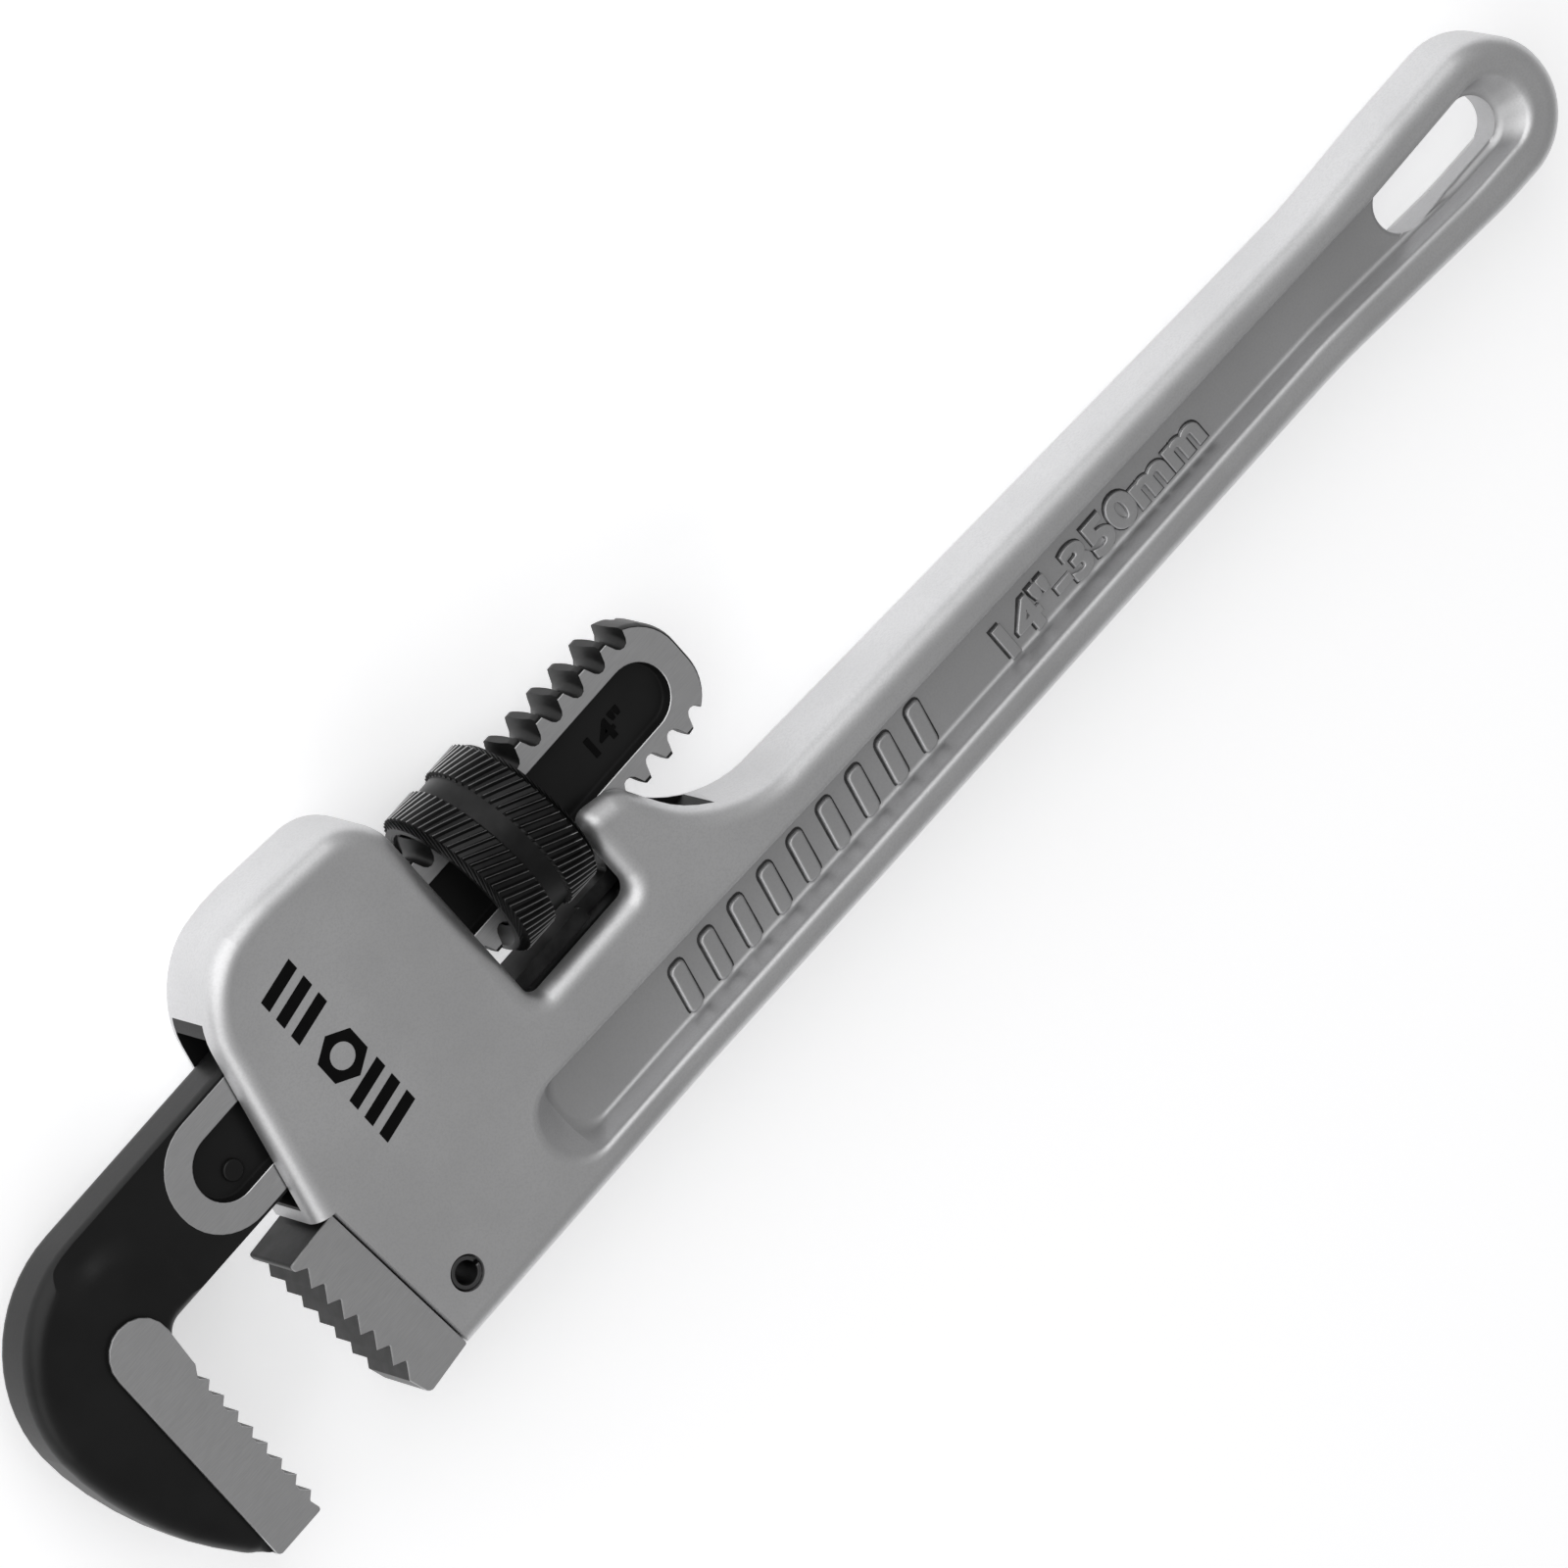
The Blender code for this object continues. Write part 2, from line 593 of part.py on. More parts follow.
def shank_flat_corners():
    """Where the forging thins from the hook to the shank's flats, round the top of the toothed face."""
    far, side = SHANK_END_X + 15, SHANK_EDGE_Y + 8
    hump_x = HOOK_TOOTH_X + 8.4
    return [
        (hump_x, -side, 1.0), (far, -side, 1.0), (far, side, 1.0), (hump_x - 17.0, side, 1.0),
        (hump_x - 13.2, 3.1, 6.0), (hump_x, 3.1, 11.0),
    ]


def make_hook_jaw(finish):
    jaw = slab("hook_jaw", hook_corners(), HOOK_HALF, HOOK_FILLET, material=finish)
    combine(jaw, slab("tooth_face", tooth_face_corners(), HOOK_FACE_HALF, 0.4, 1), "UNION")
    combine(jaw, slab("comb", comb_corners(), HOOK_FACE_HALF + 2))
    cut_both_faces(jaw, wedge("flat", shank_flat_corners(), SHANK_HALF, HOOK_HALF, 1.6))
    left, right, recess_r = HOOK_TOOTH_X + RECESS_FROM, SHANK_END_X - RECESS_END, RECESS_HALF - 0.1
    recess = [
        (left, -RECESS_HALF, recess_r), (right, -RECESS_HALF, recess_r),
        (right, RECESS_HALF, recess_r), (left, RECESS_HALF, recess_r),
    ]
    cut_both_faces(jaw, wedge("recess", recess, SHANK_HALF - RECESS_DEPTH, SHANK_HALF, 0.5))
    side = THREAD_CREST_R + 4
    around = box("around_thread", (THREAD_START_X, -side, -side), (THREAD_END_X, side, side))
    rod = threaded_rod("rod", THREAD_START_X - 10, THREAD_END_X + 10, THREAD_ROOT_R, THREAD_CREST_R)
    combine(around, rod)
    return combine(jaw, around)


# Adjusting nut


def make_nut(finish):
    """Two bands of slanted ridges with a plain groove between them, and the thread inside."""
    half, groove = NUT_LENGTH / 2, NUT_GROOVE_WIDTH / 2
    step = 0.3
    low_r, end_r = NUT_R - RIDGE_DEPTH, NUT_R - NUT_CHAMFER - 0.3
    rows = [
        (-half, end_r, end_r), (-half + NUT_CHAMFER, NUT_R, low_r), (-groove - step, NUT_R, low_r),
        (-groove, NUT_GROOVE_R, NUT_GROOVE_R), (groove, NUT_GROOVE_R, NUT_GROOVE_R),
        (groove + step, NUT_R, low_r), (half - NUT_CHAMFER, NUT_R, low_r), (half, end_r, end_r),
    ]
    columns = 2 * NUT_RIDGES
    loops = []
    for x, ridge_r, valley_r in rows:
        twist = x * math.tan(RIDGE_SLANT) / NUT_R
        loop = []
        for column in range(columns):
            radius = valley_r if column % 2 else ridge_r
            angle = math.tau * column / columns + twist
            loop.append((x, radius * math.cos(angle), radius * math.sin(angle)))
        loops.append(loop)
    nut = loft("adjusting_nut", loops, finish)
    root, crest = THREAD_ROOT_R + THREAD_CLEARANCE, THREAD_CREST_R + THREAD_CLEARANCE
    combine(nut, threaded_rod("bore", -half - 1, half + 1, root, crest, 0.03))
    return nut


# Springs


def make_leaf(finish):
    """A bent leaf: wide and low under the nut, with a tongue that rises against the shank in the saddle."""
    low_y, high_y, thick = LEAF_LOW_Y, LEAF_HIGH_Y, LEAF_THICKNESS
    rise_x = NOTCH_RIGHT_X + GAP
    under_x = rise_x + 0.9 * thick
    tongue = [
        (LEAF_SHOULDER_X - 2, low_y - thick, 0.3), (under_x, low_y - thick, 1.0),
        (under_x + LEAF_RISE, high_y - thick, 0.8), (LEAF_TO_X, high_y - thick, 0.6), (LEAF_TO_X, high_y, 0.6),
        (rise_x + LEAF_RISE, high_y, 1.0), (rise_x, low_y, 0.8), (LEAF_SHOULDER_X - 2, low_y, 0.3),
    ]
    leaf = slab("flat_spring", tongue, LEAF_TONGUE_HALF, material=finish)
    wide = [
        (LEAF_FROM_X, low_y - thick - 0.01, 0.6), (LEAF_SHOULDER_X, low_y - thick - 0.01, 0.6),
        (LEAF_SHOULDER_X, low_y + 0.01, 0.8), (LEAF_FROM_X, low_y + 0.01, 0.6),
    ]
    combine(leaf, slab("wide", wide, LEAF_HALF), "UNION")
    hole_r = RIVET_R + GAP
    hole = [(high_y - 2 * thick, hole_r), (high_y + 1, hole_r)]
    return combine(leaf, turned("rivet_hole", hole, 16, (COIL_X, 0, 0), "Y"))


def make_rivet(finish):
    under = LEAF_HIGH_Y - LEAF_THICKNESS - GAP
    rings = [
        (under - RIVET_HEAD_HEIGHT, RIVET_HEAD_R - 0.3), (under - 0.3, RIVET_HEAD_R), (under, RIVET_HEAD_R),
        (under, RIVET_R), (LEAF_HIGH_Y - GAP, RIVET_R),
    ]
    return turned("spring_rivet", rings, 16, (COIL_X, 0, 0), "Y", finish)


def make_coil(finish):
    """A compression spring standing along Y in its pocket."""
    per_turn, sides = 14, 6
    low = COIL_FLOOR_Y + WIRE_R
    high = LEAF_HIGH_Y - LEAF_THICKNESS - GAP - WIRE_R
    mean_r = COIL_R - WIRE_R
    steps = per_turn * COIL_TURNS
    loops = []
    for k in range(steps + 1):
        angle = math.tau * k / per_turn
        out = Vector((math.cos(angle), 0, math.sin(angle)))
        centre = Vector((COIL_X, low + (high - low) * k / steps, 0)) + out * mean_r
        ring = []
        for side in range(sides):
            turn = math.tau * side / sides
            ring.append(centre + out * WIRE_R * math.cos(turn) + Vector((0, WIRE_R * math.sin(turn), 0)))
        loops.append(ring)
    return loft("coil_spring", loops, finish)


# Assembly


def set_origin(item, point):
    item.data.transform(Matrix.Translation(-point * MM))
    item.location = point * MM


def pivot(name, point, parent=None):
    empty = bpy.data.objects.new(name, None)
    empty.empty_display_size = 0.02
    bpy.context.collection.objects.link(empty)
    empty.location = point * MM
    empty.parent = parent
    return empty


def attach(item, parent, joint_at=None):
    """Parents a piece, with its own origin at its joint where it has one."""
    if joint_at is not None:
        set_origin(item, joint_at)
    item.location = item.location - parent.location
    item.parent = parent


def stand_on_footprint(root, items):
    """Moves the whole tool so that the middle of its footprint is the origin."""
    bpy.context.view_layer.update()
    corners = [item.matrix_world @ Vector(corner) for item in items for corner in item.bound_box]
    low = [min(corner[axis] for corner in corners) for axis in range(3)]
    high = [max(corner[axis] for corner in corners) for axis in range(3)]
    root.location = (-(low[0] + high[0]) / 2, -(low[1] + high[1]) / 2, -low[2])


def build():
    start_clean()
    aluminium = finish_of("blasted_aluminium", (0.42, 0.42, 0.42), 0.42, 0.9)
    forged = finish_of("black_forged_steel", (0.02, 0.02, 0.022), 0.45, 0.6)
    toothed = finish_of("hardened_steel", (0.18, 0.18, 0.185), 0.38, 0.9)
    knurled = finish_of("black_nut_steel", (0.025, 0.025, 0.028), 0.35, 0.7)
    spring = finish_of("spring_steel", (0.05, 0.05, 0.055), 0.35, 0.9)

    casting = make_casting(aluminium)
    heel_jaw = make_heel_jaw(toothed)
    pin = make_pin(spring)
    coil = make_coil(spring)
    leaf = make_leaf(spring)
    rivet = make_rivet(spring)
    nut = make_nut(knurled)
    hook_jaw = make_hook_jaw(forged)

    pieces = [casting, heel_jaw, pin, coil, leaf, rivet, nut, hook_jaw]
    root = pivot("pipe_wrench", Vector((0, 0, 0)))
    rocker = pivot("rock_pivot", ROCK_PIVOT, root)
    for item in (casting, heel_jaw, pin, coil):
        attach(item, root)
    for item in (leaf, rivet):
        attach(item, rocker, ROCK_PIVOT)
    for item in (nut, hook_jaw):
        attach(item, rocker, Vector((0, 0, 0)))
    for item in pieces:
        shade(item)
    stand_on_footprint(root, pieces)


build()
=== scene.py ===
import math

import bmesh
import bpy
from mathutils import Matrix, Vector


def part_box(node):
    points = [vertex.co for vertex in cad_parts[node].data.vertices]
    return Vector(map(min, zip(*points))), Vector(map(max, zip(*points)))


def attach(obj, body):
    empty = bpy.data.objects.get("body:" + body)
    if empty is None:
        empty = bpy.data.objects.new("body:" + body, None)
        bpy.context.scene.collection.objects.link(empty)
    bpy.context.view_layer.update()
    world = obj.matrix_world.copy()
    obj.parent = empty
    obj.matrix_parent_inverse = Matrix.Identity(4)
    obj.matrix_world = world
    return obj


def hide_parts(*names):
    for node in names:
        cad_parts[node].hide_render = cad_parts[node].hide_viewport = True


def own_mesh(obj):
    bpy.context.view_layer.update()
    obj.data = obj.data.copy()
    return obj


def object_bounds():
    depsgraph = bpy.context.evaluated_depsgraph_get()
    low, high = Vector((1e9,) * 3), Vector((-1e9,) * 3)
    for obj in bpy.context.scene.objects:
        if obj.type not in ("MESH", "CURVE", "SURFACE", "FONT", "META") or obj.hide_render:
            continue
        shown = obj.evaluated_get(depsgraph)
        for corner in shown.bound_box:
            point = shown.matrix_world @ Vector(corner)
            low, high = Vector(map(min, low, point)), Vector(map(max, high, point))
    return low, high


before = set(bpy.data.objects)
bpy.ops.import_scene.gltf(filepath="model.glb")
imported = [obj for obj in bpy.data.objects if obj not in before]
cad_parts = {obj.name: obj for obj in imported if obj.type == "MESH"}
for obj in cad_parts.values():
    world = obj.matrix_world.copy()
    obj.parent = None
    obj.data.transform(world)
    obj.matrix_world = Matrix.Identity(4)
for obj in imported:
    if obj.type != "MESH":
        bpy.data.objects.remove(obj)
cadLow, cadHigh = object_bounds()
print("frame loaded")

mm = 0.001
nutLow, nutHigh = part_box("adjusting_nut")
nutMiddle = (nutLow + nutHigh) / 2  # every size below is in millimetres from here


def spot(x, y, z=0.0):
    return nutMiddle + Vector((x, y, z)) * mm


def fromNut(point):
    return (point - nutMiddle) / mm


# small modelling helpers

def activate(piece):
    if bpy.context.mode != "OBJECT":
        bpy.ops.object.mode_set(mode="OBJECT")
    bpy.ops.object.select_all(action="DESELECT")
    piece.select_set(True)
    bpy.context.view_layer.objects.active = piece


def settle(piece):
    # place and turn go into the mesh
    activate(piece)
    bpy.ops.object.transform_apply(location=True, rotation=True, scale=True)
    return piece


def pick(piece, kind, test):
    # goes into edit mode with only the parts that pass the test selected
    activate(piece)
    bpy.ops.object.mode_set(mode="EDIT")
    bpy.ops.mesh.select_mode(type=kind)
    bpy.ops.mesh.select_all(action="DESELECT")
    shape = bmesh.from_edit_mesh(piece.data)
    parts = {"VERT": shape.verts, "EDGE": shape.edges, "FACE": shape.faces}[kind]
    found = [part for part in parts if test(part)]
    for part in found:
        part.select_set(True)
    bmesh.update_edit_mesh(piece.data)


def openWhole(piece):
    # goes into edit mode with everything selected
    activate(piece)
    bpy.ops.object.mode_set(mode="EDIT")
    bpy.ops.mesh.select_all(action="SELECT")


def middleOf(part):
    if isinstance(part, bmesh.types.BMEdge):
        return fromNut((part.verts[0].co + part.verts[1].co) / 2)
    return fromNut(part.calc_center_median())


def isSharp(edge):
    return len(edge.link_faces) == 2 and edge.calc_face_angle(0) > math.radians(40)


def done():
    bpy.ops.object.mode_set(mode="OBJECT")


def roundPicked(width, segments, affect="EDGES"):
    bpy.ops.mesh.bevel(offset_type="OFFSET", offset=width * mm, segments=segments, profile=0.5,
                       affect=affect, clamp_overlap=False)


def roundEdges(piece, width, segments, test):
    pick(piece, "EDGE", test)
    roundPicked(width, segments)
    done()


def sliceAt(piece, x):
    openWhole(piece)
    bpy.ops.mesh.bisect(plane_co=spot(x, 0), plane_no=(1, 0, 0))
    done()


def faceOutwards(piece):
    openWhole(piece)
    bpy.ops.mesh.normals_make_consistent(inside=False)
    if bmesh.from_edit_mesh(piece.data).calc_volume(signed=True) < 0:
        bpy.ops.mesh.flip_normals()
    done()


def addBlock(name, low, high):
    low, high = spot(*low), spot(*high)
    bpy.ops.mesh.primitive_cube_add(size=1, location=(low + high) / 2, scale=high - low)
    piece = bpy.context.object
    piece.name = name
    return settle(piece)


def addRound(name, middle, radius, low, high, axis="Z", sides=64):
    turn = {"X": (0, math.pi / 2, 0), "Y": (math.pi / 2, 0, 0), "Z": (0, 0, 0)}[axis]
    place = Vector(middle)
    place["XYZ".index(axis)] = (low + high) / 2
    bpy.ops.mesh.primitive_cylinder_add(vertices=sides, radius=radius * mm, depth=(high - low) * mm,
                                        location=spot(*place), rotation=turn)
    piece = bpy.context.object
    piece.name = name
    return settle(piece)


def drawFace(name, corners, height, step=9):
    # a plane is drawn together to one point, which is extruded from corner to corner and filled
    bpy.ops.mesh.primitive_plane_add(size=mm, location=spot(corners[0][0], corners[0][1], height))
    piece = settle(bpy.context.object)
    piece.name = name
    bpy.ops.object.mode_set(mode="EDIT")
    bpy.ops.mesh.select_mode(type="VERT")
    bpy.ops.mesh.select_all(action="SELECT")
    bpy.ops.mesh.merge(type="CENTER")
    for here, after in zip(corners, corners[1:] + corners[:1]):
        move = ((after[0] - here[0]) * mm, (after[1] - here[1]) * mm, 0)
        bpy.ops.mesh.extrude_region_move(TRANSFORM_OT_translate={"value": move})
    bpy.ops.mesh.select_all(action="SELECT")
    bpy.ops.mesh.remove_doubles(threshold=1e-5)
    bpy.ops.mesh.edge_face_add()
    done()
    count = len(corners)
    for i, corner in enumerate(corners):
        if len(corner) < 3:
            continue
        here = Vector(corner[:2])
        before, after = Vector(corners[i - 1][:2]) - here, Vector(corners[(i + 1) % count][:2]) - here
        turn = math.pi - before.angle(after)
        reach = min(corner[2] * math.tan(turn / 2), 0.97 * before.length, 0.97 * after.length)
        pick(piece, "VERT", lambda v: (fromNut(v.co).xy - here).length < 0.002)
        roundPicked(reach, max(2, round(math.degrees(turn) / step)), "VERTICES")
        done()
    return piece


def drawPlate(name, corners, low, high, step=9):
    piece = drawFace(name, corners, low, step)
    openWhole(piece)
    bpy.ops.mesh.extrude_region_move(TRANSFORM_OT_translate={"value": (0, 0, (high - low) * mm)})
    faceOutwards(piece)
    return piece


def sinkSteps(piece, steps):
    # the under side of a cutter goes down in steps, which make its wall's shape
    lowest = min(fromNut(v.co).z for v in piece.data.vertices)
    pick(piece, "FACE", lambda face: face.normal.z < -0.9 and middleOf(face).z < lowest + 0.01)
    inset = depth = 0
    for nextInset, nextDepth in steps:
        bpy.ops.mesh.inset(thickness=(nextInset - inset) * mm, depth=(nextDepth - depth) * mm,
                           use_even_offset=True)
        inset, depth = nextInset, nextDepth
    done()


def combine(piece, *tools, operation="DIFFERENCE"):
    for tool in tools:
        modifier = piece.modifiers.new("shape", "BOOLEAN")
        modifier.operation = operation
        modifier.solver = "EXACT"
        modifier.object = tool
        activate(piece)
        bpy.ops.object.modifier_apply(modifier=modifier.name)
        bpy.data.objects.remove(tool, do_unlink=True)
    return piece


def copyOf(piece, name, move=(0, 0, 0), turnOver=False):
    activate(piece)
    bpy.ops.object.duplicate()
    other = bpy.context.object
    other.name = name
    if turnOver:  # mirrored to the under side
        other.scale.z = -1
        other.location.z = 2 * nutMiddle.z
    other.location += Vector(move) * mm
    settle(other)
    if turnOver:
        faceOutwards(other)
    return other


def cutBothSides(piece, tool):
    combine(piece, copyOf(tool, tool.name + "Under", turnOver=True), tool)


def helix(name, section, pitch, turns, steps=48):
    # a closed section of (x, radius) points, swept round the shank's line
    piece = drawFace(name, section, 0)
    pick(piece, "FACE", lambda face: True)
    bpy.ops.mesh.delete(type="ONLY_FACE")
    done()
    bpy.context.scene.cursor.location = nutMiddle
    bpy.ops.object.origin_set(type="ORIGIN_CURSOR")
    modifier = piece.modifiers.new("sweep", "SCREW")
    modifier.axis = "X"
    modifier.angle = math.tau
    modifier.screw_offset = pitch * mm
    modifier.iterations = turns
    modifier.steps = modifier.render_steps = steps
    modifier.use_merge_vertices = False
    activate(piece)
    bpy.ops.object.modifier_apply(modifier=modifier.name)
    settle(piece)
    openWhole(piece)
    bpy.ops.mesh.remove_doubles(threshold=1e-6)
    bpy.ops.mesh.fill_holes(sides=0)
    faceOutwards(piece)
    return piece


def finishPiece(piece, body, slot, *nodes, angle=38):
    openWhole(piece)
    bpy.ops.mesh.remove_doubles(threshold=2e-6)
    faceOutwards(piece)
    bpy.ops.object.shade_smooth_by_angle(angle=math.radians(angle))
    modifier = piece.modifiers.new("even", "WEIGHTED_NORMAL")
    modifier.keep_sharp = True
    bpy.ops.object.modifier_apply(modifier=modifier.name)
    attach(piece, body)
    if nodes:
        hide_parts(*nodes)
    return piece


# the cast handle, with the head, the nut's notch and the saddle in one

through = 12  # half the height of a cutter that goes right through
horn = (11, -4.4)  # where the saddle's horn meets the notch
gap = 0.3  # all round the heel jaw's tongue

casting = {
    "outline": [  # each outline is corners (x, y), and a third number is the corner's radius
        (-59.2, -51.9), (0, -51.9, 200), (160.8, -55.3, 120), (199.8, -58.8, 60),
        (220.4, -58.8, 13), (220.4, -32.2, 13), (192.8, -32.2, 60), (172.8, -32.9, 60), (30.3, -25.8, 22),
        (20.3, -6.4, 5), horn, (11, -20.2, 2.5), (-13.3, -20.2, 2.2), (-13.3, 26.2, 10),
        (-40, 29, 30), (-55.7, 26.2, 17), (-65.2, -17.4), (-61.6, -17.9)],
    "half": 9.0,
    "rim": 3.6,
    "rimSteps": 7,
    "channel": [(-29.4, -47.4, 8.2), (0, -47.5, 200), (160.8, -50.2, 100), (196, -53, 60), (215, -53, 7.4),
                (215, -36.9, 7.4), (180.4, -37.5, 80), (-29.4, -30, 8.2)],
    # each wall of a sunk face is steps of (inset, depth)
    "channelWall": [(0.5, 0.12), (0.9, 0.4), (1.2, 0.9), (1.9, 4.5), (2.15, 5.2), (2.6, 5.6), (3.1, 5.7)],
    "scoops": [(-1, -10, 5.6), (1, 202, -3.4)],  # which side, from where, how far it leans
    "taperFrom": 45,
    "taperTo": 150,
    "thinned": 7.4 / 9,
    "hangSlot": [(182, -49.9, 4.8), (209.4, -49.9, 4.8), (209.4, -40.1, 4.8), (182, -40.1, 4.8)],
    "hangEdge": 0.9,
    "passage": [(-75, -14.85), (-13, -12.05), (-11.3, -12.05), (-11.3, 12.05), (-75, 19.45)],
    "slotHalf": 5.1,
    "springSlot": ((-30, -22, -4.3), (12, -16, 4.3)),
    "saddleSlot": ((10, -21.95, -5.1), (35, 4.6, 5.1)),
    "pocket": ((18.8, 0, 0), 3.8, -25.4, -21),  # middle, radius, from, to
    "pinAt": (-52.25, -42.5),
    "pinHole": 3.1,
}


def makeCasting():
    c = casting
    half = c["half"]
    piece = drawPlate("castHandle", c["outline"], -half, half, step=7)

    def onRim(edge):
        m = middleOf(edge)
        onHorn = abs(m.z) < 1 and abs(m.x - horn[0]) < 0.1 and abs(m.y - horn[1]) < 0.1
        onSeat = m.x < heelJaw["seatBottom"][0] + 0.2 and m.y < heelJaw["seatTop"][1] + 0.3
        return onHorn or (abs(abs(m.z) - half) < 0.01 and not onSeat)

    roundEdges(piece, c["rim"], c["rimSteps"], onRim)

    channel = drawPlate("channel", c["channel"], half, half + 2, step=7)
    sinkSteps(channel, c["channelWall"])
    deepest = c["channelWall"][-1][1]
    for _, depth in c["channelWall"]:  # both ends are long scoops
        for side, start, lean in c["scoops"]:
            pick(channel, "VERT", lambda v: abs(fromNut(v.co).z - half + depth) < 0.01
                 and (fromNut(v.co).x - start) * side > 0)
            bpy.ops.transform.translate(value=(lean * depth / deepest * mm, 0, 0))
            done()
    cutBothSides(piece, channel)

    for x in (c["taperFrom"], c["taperTo"]):
        sliceAt(piece, x)
    pick(piece, "VERT", lambda v: fromNut(v.co).x > c["taperTo"] - 0.1)
    bpy.ops.transform.resize(value=(1, 1, c["thinned"]), center_override=nutMiddle)
    done()

    webHalf = (half - deepest) * c["thinned"]
    slotLow, slotHigh = c["hangSlot"][0], c["hangSlot"][2]
    combine(piece, drawPlate("hangSlot", c["hangSlot"], -through, through))

    def onHangSlot(edge):
        m = middleOf(edge)
        near = m.x > slotLow[0] - 4 and slotLow[1] - 0.2 < m.y < slotHigh[1] + 0.2
        return near and isSharp(edge) and abs(abs(m.z) - webHalf) < 0.02

    roundEdges(piece, c["hangEdge"], 3, onHangSlot)

    combine(piece, drawPlate("passage", c["passage"], -c["slotHalf"], c["slotHalf"]))
    combine(piece, addBlock("springSlot", *c["springSlot"]))
    combine(piece, addBlock("saddleSlot", *c["saddleSlot"]))
    combine(piece, addRound("pocket", *c["pocket"], "Y", 32))
    combine(piece, addRound("pinHole", (*c["pinAt"], 0), c["pinHole"], -through, through))
    tongueSlotHalf = heelJaw["tongueHalf"] + gap
    combine(piece, drawPlate("tongueSlot", tongueOutline(gap), -tongueSlotHalf, tongueSlotHalf))
    return finishPiece(piece, "handle", "casting", "handle_frame")


# the toothed heel jaw, pinned in its seat at the head's front

heelJaw = {
    "seatTop": (-61.6, -17.9),
    "seatBottom": (-59.2, -51.9),
    "half": 7.25,
    "reach": 11.25,
    "firstTip": 5.8,
    "pitch": 4.0,
    "depth": 2.05,
    "teeth": 7,
    "edge": 0.28,
    "tongueHalf": 4.5,
    "tongueDeep": 14,
    "tongueInset": 4,  # from each end of the seat
}


def onSeat(down, out):
    # a point so far down the seat and so far out from it
    top, bottom = Vector(heelJaw["seatTop"]), Vector(heelJaw["seatBottom"])
    along = (bottom - top).normalized()
    point = top + along * down + Vector((along.y, -along.x)) * out
    return (point.x, point.y)


def seatLength():
    return (Vector(heelJaw["seatBottom"]) - Vector(heelJaw["seatTop"])).length


def tongueOutline(extra):
    deep = heelJaw["tongueDeep"] + extra
    start = heelJaw["tongueInset"] - extra
    end = seatLength() - start
    return [onSeat(start, 3), onSeat(end, 3), (*onSeat(end, -deep), 1.5), (*onSeat(start, -deep), 1.5)]


def makeHeelJaw():
    h = heelJaw
    length = seatLength()
    corners = [onSeat(0.5, 0.3), (*onSeat(0.4, h["reach"] - 0.1), 0.5), (*onSeat(1.7, h["reach"] - 0.1), 0.5)]
    for k in range(h["teeth"]):
        tip = h["firstTip"] + k * h["pitch"]
        corners.append((*onSeat(tip - 0.68 * h["pitch"], h["reach"] - h["depth"]), 0.25))
        corners.append(onSeat(tip, h["reach"]))
    corners += [(*onSeat(length, h["reach"] - 0.9), 1.2), (*onSeat(length - 0.3, 0.3), 0.4)]
    piece = drawPlate("heelJaw", corners, -h["half"], h["half"], step=18)
    roundEdges(piece, h["edge"], 2, lambda e: abs(abs(middleOf(e).z) - h["half"]) < 0.01)
    tongue = drawPlate("tongue", tongueOutline(0), -h["tongueHalf"], h["tongueHalf"])
    combine(piece, tongue, operation="UNION")
    combine(piece, addRound("pinHole", (*casting["pinAt"], 0), casting["pinHole"], -through, through))
    return finishPiece(piece, "handle", "heel_jaw", "heel_jaw")


pin = {"radius": 2.8, "bore": 2.0, "half": 8.7, "edge": 0.3, "slit": 0.35}


def makePin():
    x, y = casting["pinAt"]
    piece = addRound("heelJawPin", (x, y, 0), pin["radius"], -pin["half"], pin["half"], sides=72)
    combine(piece, addRound("pinBore", (x, y, 0), pin["bore"], -through, through, sides=72))
    combine(piece, addBlock("pinSlit", (x, y - pin["slit"], -through), (x + 4, y + pin["slit"], through)))
    roundEdges(piece, pin["edge"], 2, lambda e: isSharp(e) and abs(abs(middleOf(e).z) - pin["half"]) < 0.01)
    return finishPiece(piece, "handle", "pin", "heel_jaw_pin")


# the forged hook jaw: hook, ground toothed face, flat shank and thread

